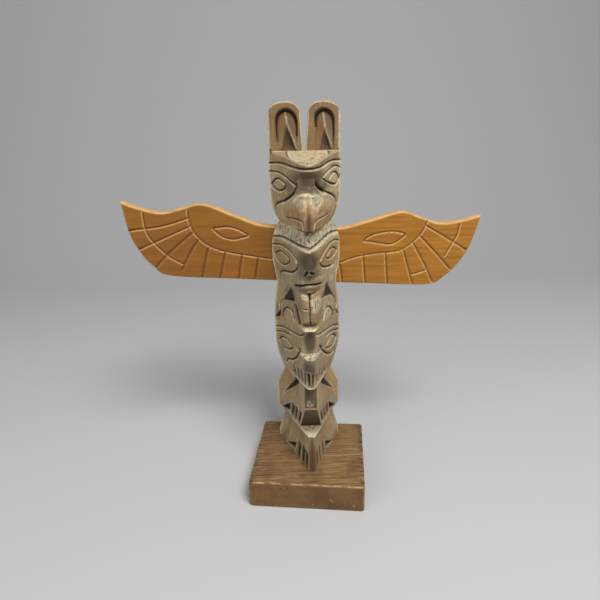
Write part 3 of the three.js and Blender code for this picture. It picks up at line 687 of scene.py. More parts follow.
def spots(places, distance, height, falloff=3.0):
    """The strongest of several oval patches at each point."""
    total = np.zeros(distance.shape)
    for side, across, up, reach_across, reach_up, strength in places:
        for one in sides_of(side):
            turn = 1 if one == 2 else one
            size = np.hypot((distance - turn * across) / reach_across, (height - up) / reach_up)
            total = np.maximum(total, np.clip(strength * falloff * (1 - size), 0, min(1, strength)))
    return np.clip(total, 0, 1)


def panel(distance, height, top_half, foot_half, top, foot):
    """Inside of a flat cut with straight sides, and how far down it each point is."""
    down = part_of(top - height, top - foot)
    half = top_half + (foot_half - top_half) * down
    inside = 1
    for room in (half - np.abs(distance), height - foot, top - height):
        inside = inside * np.clip(room / PANEL_EDGE + 0.5, 0, 1)
    return inside, down


def carve_front(distance, height):
    """All relief of the log's front, over drawn distances and heights."""
    relief = Relief(stretch(distance), height)
    for sizes, points in each_side(LINES):
        relief.line(points, *sizes)
    for sizes, points in each_side(EYES):
        relief.line(points, *sizes, closed=True)
    for sizes, points in each_side(SLITS):
        relief.slit(points, *sizes)
    for side in (-1, 1):
        for rows, widths, lean in ((TEETH, TOOTH_WIDTH, TOOTH_LEAN), (TOES, TOE_WIDTH, TOOTH_LEAN),
                                   (FINGERS, TOOTH_WIDTH, FINGER_LEAN)):
            for across, top, foot in rows:
                points = mirrored(((across, top), (across + lean, foot)), side)
                relief.slit(points, widths[side], TOOTH_DEPTH)
    for *sizes, points in RIMS:
        relief.rim(mirrored(points, 2), *sizes)
    for side, corners, depths in HOLLOWS:
        for one in sides_of(side):
            relief.hollow(mirrored(corners, one), depths)
    for sizes, points in each_side(VALLEYS):
        relief.valley(points, *sizes)
    # Painted shade spreads a little around every cut
    relief.soil = np.clip(CUT_SHADE_STRENGTH * blurred(relief.groove, *CUT_SHADE_REACH), 0, 1)
    # Painted shade in the recesses under overhangs
    relief.most(groove=spots(SHADE_UNDER_LEDGES, distance, height))
    relief.chip = spots(CHIPPED, distance, height)
    # Dark stain, with painted shade in a few recesses
    relief.stain = spots(STAINED_AND_SHADED, distance, height, PATCH_FALLOFF)
    relief.warm = spots(WARM, distance, height)
    # The panels are stained, and painted shade darkens them towards their foot
    for *edges, stain, panel_shade in PANELS:
        inside, down = panel(distance, height, *edges)
        relief.most(stain=inside * stain, groove=inside * panel_shade * (0.2 + 0.8 * down))
    return relief


# Meshes


def grid_quads(rows, columns, start=0, turned=False):
    """Quads of a grid whose points are stored row by row."""
    r, c = np.meshgrid(np.arange(rows - 1), np.arange(columns - 1), indexing="ij")
    low = (r * columns + c).ravel() + start
    quads = np.stack((low, low + 1, low + columns + 1, low + columns), axis=1)
    return [tuple(q) for q in (quads[:, ::-1] if turned else quads).tolist()]


def border(rows, columns):
    """Pairs of neighbouring points around a grid, anticlockwise."""
    loop = list(range(columns))
    loop += [r * columns + columns - 1 for r in range(1, rows)]
    loop += [(rows - 1) * columns + c for c in range(columns - 2, -1, -1)]
    loop += [r * columns for r in range(rows - 2, 0, -1)]
    return zip(loop, loop[1:] + loop[:1])


def slab_faces(rows, columns, turned=False):
    """Faces of a closed slab, from a front grid, a back grid and the border between them."""
    count = rows * columns
    faces = grid_quads(rows, columns, 0, turned) + grid_quads(rows, columns, count, not turned)
    for a, b in border(rows, columns):
        quad = (a, a + count, b + count, b)
        faces.append(quad[::-1] if turned else quad)
    return faces


def finishes(shape, **given):
    """Every finish value of a grid, zero where none is given."""
    plain = np.zeros(shape)
    return {key: (plain + given.get(key, 0)).ravel() for key in FINISHES}


def stacked(*sets):
    """Several sets of values, one after the other."""
    return {key: np.concatenate([values[key] for values in sets]) for key in sets[0]}


def joined(parts):
    """Several point, face and value sets as one."""
    faces, start = [], 0
    for points, some_faces, _ in parts:
        faces += [tuple(i + start for i in face) for face in some_faces]
        start += len(points)
    return np.vstack([p[0] for p in parts]), faces, stacked(*[p[2] for p in parts])


def add_object(name, data):
    """A new object in the scene."""
    thing = bpy.data.objects.new(name, data)
    bpy.context.scene.collection.objects.link(thing)
    return thing


def make_piece(name, points, faces, attributes, material):
    """A mesh object in metres from points in millimetres, shaded smooth between sharp edges."""
    mesh = bpy.data.meshes.new(name)
    mesh.from_pydata([tuple(p) for p in points * MM], [], faces)
    net = bmesh.new()
    net.from_mesh(mesh)
    for key, values in attributes.items():
        layer = net.verts.layers.float.new(key)
        for vertex, value in zip(net.verts, values.tolist()):
            vertex[layer] = value
    bmesh.ops.remove_doubles(net, verts=net.verts, dist=WELD)
    bmesh.ops.dissolve_degenerate(net, edges=net.edges, dist=WELD)
    net.to_mesh(mesh)
    net.free()
    mesh.shade_smooth()
    mesh.set_sharp_from_angle(angle=math.radians(SHARP_ANGLE))
    mesh.materials.append(material)
    return add_object(name, mesh)


# Shapes of the log


def half_width(height):
    """Half the width of the flat back at each height."""
    half = np.full_like(height, LOG_WIDTH / 2)
    for level, pinch, below, above, curve_below, curve_above in NECKS:
        up = height > level
        share = np.abs(height - level) / np.where(up, above, below)
        curve = np.where(up, curve_above, curve_below)
        half = half - pinch * np.clip(1 - share, 0, 1) ** curve
    return half


def front_depth(share, height):
    """How far the front stands before the back, at a share of the half width."""
    inside = np.clip(height, 0, HEAD_TOP)
    apex, flat, hollow = (np.interp(inside, PROFILE[:, 0], PROFILE[:, k]) for k in (1, 2, 3))
    slope = (1 - share) / (1 - RIDGE_WIDTH / LOG_WIDTH)
    dish = hollow * np.sin(np.pi * np.minimum(1, share))
    blend = np.interp(inside, SOFTNESS[:, 0], SOFTNESS[:, 1])
    gap = np.abs(flat - apex * slope)
    soft = blend * np.log1p(np.exp(-np.minimum(gap / blend, 30)))
    return np.maximum(CORNER_STRIP, np.minimum(flat, apex * slope) - soft - dish)


def head_slope(depth):
    """Height of the sloping top of the head, this far before the back."""
    return HEAD_TOP - HEAD_TOP_SLOPE * np.maximum(0, depth - EAR_THICKNESS)


def crest_dip(x):
    """How much lower the middle of the head's front edge is cut."""
    return CREST_DIP * np.clip(1 - ((x - MOON_X) / CREST_HALF) ** 2, 0, 1)


def belly_panel(distance, height, depth):
    """The flat panel that is sunk between the crouching figure's arms."""
    *edges, top_depth, foot_depth = BELLY
    inside, down = panel(distance, height, *edges)
    floor = top_depth + (foot_depth - top_depth) * down
    return np.minimum(depth, depth * (1 - inside) + floor * inside)


def log_columns(step):
    """Shares of the half width, from the left corner to the right one."""
    ridge = RIDGE_WIDTH / LOG_WIDTH
    on_ridge = np.linspace(-ridge, ridge, int(RIDGE_WIDTH / step) + 1)
    face = np.linspace(ridge, 1, int((1 - ridge) * LOG_WIDTH / 2 * FACE_STRETCH / step) + 1)[1:]
    return np.concatenate((-face[::-1], on_ridge, face))


def log_front(settings):
    """Grids of the front, from the foot to the head: share across, height, x and y."""
    shares = log_columns(settings.column_step / MM)
    levels = np.linspace(0, 1, int(HEAD_TOP / (settings.row_step / MM)) + 1)[:, None]
    top = head_slope(front_depth(np.abs(shares), np.full(shares.shape, HEAD_TOP)))
    top = top - crest_dip(RIDGE_OFFSET + shares * (LOG_WIDTH / 2 - np.sign(shares) * RIDGE_OFFSET))
    straight = LEVEL_TOP / HEAD_TOP
    bend = part_of(levels - straight, 1 - straight)
    height = np.where(bend > 0, LEVEL_TOP + (top - LEVEL_TOP) * bend, levels * HEAD_TOP)
    share = np.broadcast_to(shares, height.shape)
    side = np.sign(share)
    x = RIDGE_OFFSET + side * np.abs(share) * (half_width(height) - side * RIDGE_OFFSET)
    depth = belly_panel(share * LOG_WIDTH / 2, height, front_depth(np.abs(share), height))
    return share, height, x, -depth


def log_normals(x, y):
    """Level outward directions of the front."""
    dx, dy = np.gradient(x, axis=1), np.gradient(y, axis=1)
    for _ in range(3):
        dx, dy = (convolved(grid, (0.25, 0.5, 0.25), 1) for grid in (dx, dy))
    size = np.hypot(dx, dy)
    return dy / size, -dx / size


def carved_front(settings):
    """The log's front with its two corner strips: points, half widths of the back and finishes."""
    share, height, x, y = log_front(settings)
    distance = share * LOG_WIDTH / 2
    relief = carve_front(distance, height)
    u = stretch(distance, FACE_STRETCH)
    rough = facets(u, height, 1.9, 3.0) * 0.7 + facets(u + 5, height, 1.1, 9.0) * 0.6
    tool = (0.10 * waves(u, height * 0.35, scale=5.0, seed=4)
            + 0.05 * waves(u, height * 0.5, scale=2.2, seed=5))
    chips = relief.chip * settings.chip_depth / MM * rough
    edge = part_of(LOG_WIDTH / 2 - np.abs(distance), CORNER_WEAR)
    cut = (relief.depth + chips + np.clip(tool, 0, 1)) * (0.25 + 0.75 * edge) - relief.rise * edge
    # Pale lips on the corners: wear, and a painted highlight
    relief.most(lip=np.clip((1 - edge) * 1.2, 0, 0.6))
    # A painted highlight along the head's front edge
    relief.lip[-CREST_ROWS:] = np.maximum(relief.lip[-CREST_ROWS:], CREST_HIGHLIGHT)
    # The scoops of the chipped patches, whose middles are darkened as painted shade
    relief.dent = relief.chip * rough
    # Faded stain high on the head, and painted light on the right side, where the light falls
    light_from_right = part_of(distance, 6)
    relief.bleach = np.maximum(part_of(height - FADED_HEAD, 6) * (0.46 + 0.18 * light_from_right),
                               0.16 * light_from_right * part_of(height - BODY_LIGHT_FROM, 30))
    nx, ny = log_normals(x, y)
    front = np.stack((x - nx * cut, y - ny * cut, height), axis=2)
    half = half_width(height[:, 0])

    def strip(side, y):
        """An upright row of points along the left or right corner."""
        return np.stack((side * half, np.full(half.shape, y), height[:, 0 if side < 0 else -1]), axis=1)

    steps = (0.0, -CORNER_STRIP * 0.5)
    left = np.stack([strip(-1, y) for y in steps], axis=1)
    right = np.stack([strip(1, y) for y in steps[::-1]], axis=1)
    pad = ((0, 0), (len(steps), len(steps)))
    values = {key: np.pad(getattr(relief, key), pad, mode="edge").ravel() for key in FINISHES}
    return np.concatenate((left, front, right), axis=1), half, values


def head_top(edge_row):
    """The sloping top of the head behind its front edge, with the pale chip: points and finishes."""
    dip = np.clip(head_slope(-edge_row[:, 1]) - edge_row[:, 2], 0, None)
    rows = []
    for share in np.arange(1, TOP_ROWS + 1) / TOP_ROWS:
        x, y = edge_row[:, 0], edge_row[:, 1] * (1 - share)
        scoop = 0.35 * facets(x, y, 2.6, 2.0) + 0.08 * waves(x * 0.4, y, scale=3.0, seed=8)
        fade = min(1.0, 4 * share * (1 - share)) * (y < -EAR_THICKNESS - 0.4)
        rows.append(np.stack((x, y, head_slope(-y) - dip * (1 - share) ** 1.5
                              - np.clip(scoop, 0, 1) * fade), axis=1))
    points = np.array(rows)
    before = -points[:, :, 1] - EAR_THICKNESS
    reach = MOON_HALF * np.sqrt(np.clip(1 - (before / MOON_DEPTH) ** 3, 0, 1))
    inside = reach - np.abs(points[:, :, 0] - MOON_X)
    moon = part_of(inside, 0.8) * (before > 0)
    # A ring of painted shade just outside the chip, and painted highlights along its edge and along the foot
    # of the ears
    rim = 0.7 * bell(inside + 1.0, 0.6) * (before > 0)
    lip = np.maximum(bell(inside, 0.7) * (before > 0), bell(before - 0.6, 0.5))
    return points, finishes(moon.shape, groove=rim, lip=lip, chip=moon * 0.46, warm=(1 - moon) * 0.3)


def log_back(height, half):
    """The flat, slightly uneven back: points and finishes."""
    x = half[:, None] * BACK_SHARES
    z = np.broadcast_to(height[:, None], x.shape)
    dent = 0.12 * (1 + waves(x * 0.5, z * 0.2, scale=6.0, seed=31)) * (np.abs(BACK_SHARES) < 0.9)
    dent = np.clip(dent, 0, 0.5) * part_of(HEAD_TOP - z, 8)
    high = part_of(z - HEAD_TOP + BACK_BLEND, BACK_BLEND)
    return np.stack((x, -dent, z), axis=2), finishes(x.shape, stain=EAR_STAIN * high, warm=high)


def build_log(settings):
    """The carved log: its front, the top of its head and its flat back."""
    front, half, front_values = carved_front(settings)
    top, top_values = head_top(front[-1])
    back, back_values = log_back(front[:-1, 0, 2], half[:-1])
    rows, wide = front.shape[:2]
    across = len(BACK_SHARES)
    back_start = (rows + TOP_ROWS) * wide
    faces = grid_quads(rows + TOP_ROWS, wide)
    faces += grid_quads(rows - 1, across, back_start, True)
    last_back = back_start + (rows - 2) * across
    faces.append((*range(last_back + across - 1, last_back - 1, -1), (rows - 1) * wide,
                  *range(back_start - wide, back_start), rows * wide - 1))
    faces.append((*range(wide - 1, -1, -1), *range(back_start + 1, back_start + across - 1)))
    points = np.vstack([grid.reshape(-1, 3) for grid in (front, top, back)])
    return points, faces, stacked(front_values, top_values, back_values)


def ear_outline():
    """For one ear: share across, and the top height of each column."""
    share = 0.5 - 0.5 * np.cos(np.pi * np.linspace(0, 1, EAR_COLUMNS))
    crown = (EAR_CROWN - EAR_SLOT_TOP) / (LOG_WIDTH / 2 - EAR_SLOT_TOP)
    lean = np.where(share < crown, share / crown, (1 - share) / (1 - crown))
    return share, EAR_SPRING + (LOG_HEIGHT - EAR_SPRING) * (1 - (1 - lean) ** 2.5) ** (1 / 2.1)


def carve_ear(side, x, height):
    """Relief of one ear: its arch, its fork and its hollow, darkened with painted shade."""
    relief = Relief(x, height)
    arch = smooth_curve(EAR_ARCH[side])
    dist, _ = distance_to(arch, x, height, EAR_LINE_REACH)
    bright, soft = EAR_FORK[side]
    bright_x, soft_x = (np.interp(height, *np.array(edge[::-1]).T[::-1]) for edge in (bright, soft))
    left, right = arch[:, 0].min(), arch[:, 0].max()
    crown = np.clip(1 - ((x - (left + right) / 2) / ((right - left) / 2)) ** 2, 0, 1) ** 0.5
    ceiling = EAR_ARCH_SPRING + (arch[:, 1].max() - EAR_ARCH_SPRING) * crown
    within = (x > left) & (x < right) & (height < ceiling)
    wall = part_of(dist, 0.5)
    thick = 0.8 + 0.8 * grown(height, *EAR_LINE_THICK)
    low, high = np.minimum(bright_x, soft_x), np.maximum(bright_x, soft_x)
    fork = bright[1][1]
    between = part_of(x - low, 0.6) * part_of(high - x, 0.6) * (height < fork)
    sink = part_of(fork + 1 - height, 9)
    relief.depth = np.where(within, (0.35 + 1.35 * grown(height, *EAR_DEEP)) * wall, 0)
    relief.depth = relief.depth + between * sink * 1.5
    across = np.abs(x - bright_x) / np.maximum(0.1, high - low)
    # Painted shade in the hollow between the fork's edges, darkest by the bright edge, and in the arch's
    # line
    dark = between * np.clip(sink * 1.8, 0, 0.97) * (1 - 0.55 * across ** 1.5)
    relief.groove = np.clip(2.1 - dist / (thick * 0.5), 0, 1) * grown(height, *EAR_LINE_DARK)
    relief.most(groove=dark * grown(height, *EAR_HOLLOW_DARK))
    # The ear's stain, with painted shade on the sunk floor inside the arch
    relief.stain = EAR_STAIN + np.where(within, 0.30 * wall * grown(height, *EAR_FLOOR_SHADE), 0)
    # The fork's bright edge stands up a little and gets a painted highlight
    ridge = np.clip(1 - np.abs(x - bright_x) / 0.8, 0, 1) * (height < bright[0][1])
    relief.rise, relief.lip = ridge * 0.5, ridge * 0.8
    return relief


def build_ear(side):
    """One ear as a closed slab that is sunk a little into the head."""
    share, top = ear_outline()
    foot = HEAD_TOP - EAR_SUNK
    height = foot + np.linspace(0, 1, EAR_ROWS)[:, None] * (top - foot)
    rise = part_of(height - HEAD_TOP, EAR_SPRING - HEAD_TOP)
    inner = EAR_SLOT_FOOT + (EAR_SLOT_TOP - EAR_SLOT_FOOT) * rise
    outer = LOG_WIDTH / 2 - 0.04
    x = inner + share * (outer - inner)
    relief = carve_ear(side, x, height)
    wedge = front_depth(part_of(np.abs(x), LOG_WIDTH / 2), np.full(x.shape, HEAD_TOP))
    rim = np.minimum.reduce((x - inner, outer - x, top - height))
    # Pale edges round the ear: a painted highlight along its rim, and painted rim light along the outer edge
    relief.most(lip=np.maximum(np.clip(1.5 - rim / 0.6, 0, 1), np.clip(2.2 - (outer - x), 0, 1)))
    relief.lip[(height < HEAD_TOP + 1.2) & (rim > 0.8)] = 0
    thick = np.minimum(EAR_THICKNESS, wedge) - 0.03
    depth = np.maximum(0.8, thick - relief.depth + relief.rise - rounding(rim, EAR_ROUNDING))
    points = np.vstack([np.stack((side * x, y, height), axis=2).reshape(-1, 3)
                        for y in (-depth, np.full(x.shape, -0.02))])
    values = stacked(finishes(x.shape, groove=relief.groove, lip=relief.lip, stain=relief.stain, warm=1),
                     finishes(x.shape, stain=EAR_STAIN, warm=1))
    return points, slab_faces(EAR_ROWS, EAR_COLUMNS, side < 0), values


# Shape of the wings


def spline_height(points, x):
    """Height of a smooth outline over x."""
    curve = smooth_curve(points, 0.5)
    return np.interp(x, curve[:, 0], curve[:, 1])


def build_wings(settings):
    """The wing board: both faces, rounded edges and every cut line."""
    columns, rows = settings.columns, settings.rows
    even = np.linspace(-1, 1, columns)
    across = WING_SPAN / 2 * np.sign(even) * (1 - (1 - np.abs(even)) ** 1.25)
    top, foot = (spline_height(outline, np.abs(across)) for outline in (WING_TOP, WING_FOOT))
    up = np.linspace(0, 1, rows)[:, None]
    level = 0.6 * up + 0.4 * (0.5 - 0.5 * np.cos(np.pi * up))
    x = np.broadcast_to(across, (rows, columns)).copy()
    z = foot + level * (top - foot)
    upper, lower = (distance_to(np.stack((across, edge), axis=1), x, z, 4)[0] for edge in (top, foot))
    rim = np.minimum(upper, lower)
    radius = WING_EDGE * np.clip(1 + 0.18 * waves(x, z, scale=38.0, seed=12), 0.7, 1.0)
    relief = Relief(x, z)
    # Every cut gets painted shade, and a lip with a painted highlight
    for points in LEFT_WING_LINES[:DULL_FROM] + RIGHT_WING_LINES:
        relief.line(points, WING_CUT_WIDTH, WING_CUT_DEPTH)
    for points in LEFT_WING_LINES[DULL_FROM:]:
        relief.line(points, DULL_CUT_WIDTH, WING_CUT_DEPTH, bright=DULL_LIP)
    for points in (LEFT_WING_EYE, RIGHT_WING_EYE):
        relief.line(points, WING_CUT_WIDTH, WING_CUT_DEPTH, closed=True)
    ripple = 0.06 * (1 + waves(x * 0.25, z, scale=5.0, seed=21)) * 0.5
    edge = rounding(rim, radius)
    front_y = np.maximum(0, edge + relief.depth - relief.rise) + np.clip(ripple, 0, 1)
    tilt = math.radians(WING_TILT)
    tilted_x = x * math.cos(tilt) + z * math.sin(tilt)
    tilted_z = -x * math.sin(tilt) + z * math.cos(tilt)
    points = np.vstack([np.stack((tilted_x, y, tilted_z), axis=2).reshape(-1, 3)
                        for y in (front_y, WING_THICKNESS - edge)])
    middle = (LOG_X + WING_SHIFT, LOG_BACK_Y + PIECE_GAP, BASE_HEIGHT + PIECE_GAP + WING_HEIGHT)
    worn = np.maximum(np.clip(1.25 - upper / radius, 0, 1), 0.5 * np.clip(1 - rim / radius, 0, 1))
    # The left wing is darkened as painted shade, less on its worn edges
    aged = np.clip(0.5 - x / 30, 0, 1) * (1 - 0.6 * worn)
    plain = np.zeros(x.shape)
    pairs = {"groove": (relief.groove, plain), "lip": (relief.lip, plain),
             "worn": (worn, worn), "aged": (aged, aged)}
    values = {key: np.concatenate([grid.ravel() for grid in pair]) for key, pair in pairs.items()}
    return points + np.array(middle), slab_faces(rows, columns), values


# Nodes


class Nodes:
    """Adds linked nodes to a node tree."""

    def __init__(self, tree):
        self.tree = tree

    def add(self, kind, **values):
        """A new node with its settings."""
        node = self.tree.nodes.new(kind)
        for key, value in values.items():
            setattr(node, key, value)
        return node

    def put(self, value, socket):
        """Link another socket, or set a fixed number, vector, name or colour."""
        if isinstance(value, bpy.types.NodeSocket):
            self.tree.links.new(value, socket)
        elif socket.type == "RGBA":
            socket.default_value = (*value, 1.0)
        else:
            socket.default_value = value

    def fill(self, node, *values, **named):
        """Put values into a node's sockets, in order or by name with _ for a space."""
        for value, socket in zip(values, node.inputs):
            self.put(value, socket)
        for key, value in named.items():
            self.put(value, node.inputs[key.replace("_", " ")])
        return node

    def math(self, operation, *values):
        """Arithmetic on numbers."""
        return self.fill(self.add("ShaderNodeMath", operation=operation), *values).outputs[0]

    def times(self, first, second):
        """A product of two numbers."""
        return self.math("MULTIPLY", first, second)


class Shader(Nodes):
    """A material under construction."""

    def __init__(self, name):
        self.material = bpy.data.materials.new(name)
        self.material.use_nodes = True
        super().__init__(self.material.node_tree)
        self.surface = self.tree.nodes["Principled BSDF"]

    def mapped(self, scale, turn, place=(0, 0, 0), kind="POINT"):
        """Object coordinates, moved, turned and scaled."""
        source = self.add("ShaderNodeTexCoord").outputs["Object"]
        mapping = self.add("ShaderNodeMapping", vector_type=kind)
        return self.fill(mapping, Vector=source, Location=place, Rotation=turn, Scale=scale).outputs[0]

    def noise(self, scale, detail, rough, warp=0.0, turn=0.0):
        """Noise that is finer along some axes."""
        node = self.add("ShaderNodeTexNoise")
        self.fill(node, Vector=self.mapped(scale, (0, 0, turn)), Scale=1.0, Detail=detail, Roughness=rough,
                  Distortion=warp)
        return node.outputs["Fac"]

    def ramp(self, value, low, high):
        """0 at low to 1 at high."""
        node = self.add("ShaderNodeMapRange", clamp=True)
        return self.fill(node, Value=value, From_Min=low, From_Max=high).outputs["Result"]

    def mix(self, share, first, second):
        """Two colours mixed; each is a socket or a fixed colour."""
        node = self.add("ShaderNodeMix", data_type="RGBA")
        for value, k in ((share, 0), (first, 6), (second, 7)):
            self.put(value, node.inputs[k])
        return node.outputs[2]

    def layered(self, colour, layers):
        """A colour under others that are laid over it in turn: share, strength and colour."""
        for share, strength, over in layers:
            colour = self.mix(self.times(share, strength), colour, over)
        return colour

    def attribute(self, name):
        """A value that is stored on the mesh."""
        return self.add("ShaderNodeAttribute", attribute_name=name).outputs["Fac"]

    def broken(self, name, value, low, high):
        """A stored value that is broken up by noise."""
        return self.times(self.attribute(name), self.ramp(value, low, high))

    def scratch(self, middle, slant, turn, half_length, half_width):
        """A short straight mark on an upright face."""
        scale = (half_length, half_width * 8, half_width)
        size = self.fill(self.add("ShaderNodeVectorMath", operation="LENGTH"),
                         self.mapped(scale, (0, slant, turn), middle, "TEXTURE"))
        return self.ramp(size.outputs["Value"], 1.0, 0.5)

    def bump(self, *layers):
        """Bumps from height, distance and strength, one over the other."""
        node = None
        for height, distance, strength in layers:
            below = node
            node = self.fill(self.add("ShaderNodeBump"), Height=height, Distance=distance, Strength=strength)
            if below:
                self.put(below.outputs["Normal"], node.inputs["Normal"])
        return node.outputs["Normal"]

    def dress(self, **values):
        """The finished material."""
        self.fill(self.surface, **values)
        return self.material


def log_wood(settings):
    """Khaki stained wood with pale worn chips, dark noses and warmer ears, painted shade in and around the
    cuts, and painted highlights on the lips and edges.
    """
    s = Shader("carved_wood")
    grain = s.noise((850, 850, 40), 6, 0.6, 0.4)
    blotch = s.noise((85, 85, 55), 5, 0.6, 0.8)
    cloud = s.noise((48, 48, 34), 3, 0.5, 0.3)
    speckle = s.noise((760, 760, 560), 3, 0.7)
    flake = s.noise((520, 520, 380), 4, 0.6, 0.6)
    warm = s.broken("warm", blotch, 0.15, 0.5)
    wood = s.mix(s.ramp(cloud, 0.44, 0.62), settings.wood, settings.grey)
    # Faded stain high on the head, and painted light on the log's right side
    wood = s.mix(s.attribute("bleach"), wood, settings.faded_and_lit)
    wood = s.layered(wood, (
        (s.ramp(blotch, 0.48, 0.64), 0.6, settings.amber),
        (warm, 0.85, settings.amber),
        (s.ramp(cloud, 0.40, 0.28), 0.5, settings.stain),
        (s.ramp(grain, 0.42, 0.74), 0.34, settings.dark),
        (s.ramp(speckle, 0.52, 0.72), 0.22, settings.pale),
        # Stain, with painted shade in a few recesses and inside the ears' arches
        (s.broken("stain", blotch, 0.10, 0.36), 0.90,
         s.mix(s.times(warm, 0.8), settings.stain, settings.rust)),
        # Painted shade around the cuts
        (s.broken("soil", speckle, 0.75, 0.35), 0.46, settings.stain),
        (s.broken("chip", flake, 0.40, 0.52), 0.92, settings.chip),
        # Painted shade in the middle of the gouge scoops
        (s.ramp(s.attribute("dent"), 0.65, 1.15), 0.36, settings.stain),
        # Wear, and painted highlights on the lips, rims and edges
        (s.broken("lip", speckle, 0.22, 0.50), 0.84, settings.pale),
        # Painted shade in the cuts and hollows
        (s.attribute("groove"), 0.94, settings.dark),
    ))
    gloss = s.math("MULTIPLY_ADD", s.ramp(blotch, 0.3, 0.7), 0.20, 0.38)
    return s.dress(Base_Color=wood, Roughness=gloss, Specular_IOR_Level=0.16,
                   Normal=s.bump((grain, 0.0002, 0.22), (speckle, 0.00022, 0.35)))


def wing_wood(settings):
    """Golden brown board with grain along the wings, pale worn edges, painted shade in the cuts and over the
    left wing, and painted highlights on the cuts' lips.
    """
    s = Shader("wing_wood")
    grain = s.noise((26, 600, 620), 6, 0.62, 0.5)
    bands = s.noise((7, 90, 110), 3, 0.5, 0.8)
    blotch = s.noise((28, 28, 45), 3, 0.5)
    half_dark = s.mix(0.5, settings.wood, settings.dark)
    wood = s.layered(s.mix(s.ramp(grain, 0.40, 0.75), settings.wood, half_dark), (
        (s.ramp(bands, 0.45, 0.7), 0.22, settings.dark),
        (s.ramp(blotch, 0.48, 0.68), 0.16, settings.dark),
        # Painted shade over the left wing
        (s.attribute("aged"), 0.42, settings.dark),
        # Painted highlights on the lips of the cuts
        (s.attribute("lip"), 0.62, settings.pale),
        (s.broken("worn", grain, 0.25, 0.55), 0.80, settings.pale),
        # Painted shade in the cuts
        (s.attribute("groove"), 0.75, settings.dark),
    ))
    gloss = s.math("MULTIPLY_ADD", s.ramp(grain, 0.3, 0.7), 0.16, 0.40)
    return s.dress(Base_Color=wood, Roughness=gloss, Specular_IOR_Level=0.2,
                   Normal=s.bump((grain, 0.0002, 0.3)))


def base_wood(settings):
    """Dark brown block with open grain from side to side, worn edges, painted glints on its top and painted
    shade on its upright faces.
    """
    s = Shader("base_wood")
    turn = -settings.turn
    grain = s.noise((42, 1150, 800), 6, 0.7, 0.5, turn)
    ridges = s.noise((34, 1050, 640), 4, 0.65, 0.8, turn)
    blotch = s.noise((55, 75, 75), 5, 0.65, 0.0, turn)
    rub = s.noise((150, 210, 210), 4, 0.7, 1.0, turn)
    side = s.attribute("side")
    flat = s.math("SUBTRACT", 1.0, s.times(side, 0.85))
    wood = s.layered(settings.wood, (
        (s.times(s.ramp(grain, 0.42, 0.64), flat), 0.80, settings.dark),
        # Painted glints on the raised grain of the top
        (s.times(s.ramp(ridges, 0.50, 0.68), flat), 0.55, settings.pale),
        (s.ramp(blotch, 0.44, 0.66), 0.55, settings.dark),
        # Painted shade on the upright faces
        (side, 0.52, settings.dark),
        (s.broken("worn", rub, 0.42, 0.56), 0.8, settings.pale),
        # Dark colour laid into the notches
        (s.attribute("nick"), 0.9, NOTCH_DARK),
    ))
    for across, up, slant, size in SCRATCHES:
        spot = Matrix.Rotation(settings.turn, 3, "Z") @ Vector((across * MM, -settings.depth / 2, up * MM))
        mark = s.scratch(spot, slant, settings.turn, size / 2 * MM, SCRATCH_WIDTH / 2 * MM)
        wood = s.layered(wood, ((mark, 0.7, settings.pale),))
    gloss = s.math("MULTIPLY_ADD", s.ramp(grain, 0.3, 0.7), 0.15, 0.55)
    return s.dress(Base_Color=wood, Roughness=gloss, Specular_IOR_Level=0.18,
                   Normal=s.bump((grain, 0.0003, 0.5), (ridges, 0.0006, 0.6)))


class Tree(Nodes):
    """A geometry node tree under construction."""

    def __init__(self, name):
        super().__init__(bpy.data.node_groups.new(name, "GeometryNodeTree"))
        self.tree.interface.new_socket("Geometry", in_out="OUTPUT", socket_type="NodeSocketGeometry")
        self.identifiers = {}
        self.entry = self.add("NodeGroupInput")
        self.exit = self.add("NodeGroupOutput")

    def size(self, name, kind="NodeSocketFloat"):
        """A named input of the tree."""
        socket = self.tree.interface.new_socket(name, in_out="INPUT", socket_type=kind)
        self.identifiers[name] = socket.identifier
        return self.entry.outputs[name]

    def vector(self, operation, *values):
        """Arithmetic on vectors, or a vector's length."""
        node = self.fill(self.add("ShaderNodeVectorMath", operation=operation), *values)
        return node.outputs["Value" if operation == "LENGTH" else "Vector"]

    def scaled(self, vector, amount):
        """A vector made longer or shorter."""
        node = self.add("ShaderNodeVectorMath", operation="SCALE")
        return self.fill(node, vector, Scale=amount).outputs["Vector"]

    def clamped(self, value):
        """A number kept between 0 and 1."""
        return self.fill(self.add("ShaderNodeClamp"), Value=value).outputs[0]

    def combined(self, x, y, z):
        """A vector from its three parts."""
        return self.fill(self.add("ShaderNodeCombineXYZ"), X=x, Y=y, Z=z).outputs[0]

    def parts(self, vector):
        """The three parts of a vector."""
        return self.fill(self.add("ShaderNodeSeparateXYZ"), Vector=vector).outputs

    def noise(self, place, scale, seed, detail=2.0):
        """Noise that is finer along some axes."""
        node = self.add("ShaderNodeTexNoise", noise_dimensions="4D")
        self.fill(node, Vector=self.vector("MULTIPLY", place, scale), W=seed, Scale=1.0, Detail=detail)
        return node.outputs["Fac"]

    def through(self, geometry, kind, **values):
        """Geometry after one more node."""
        node = self.fill(self.add("GeometryNode" + kind), Geometry=geometry, **values)
        return node.outputs["Geometry"]


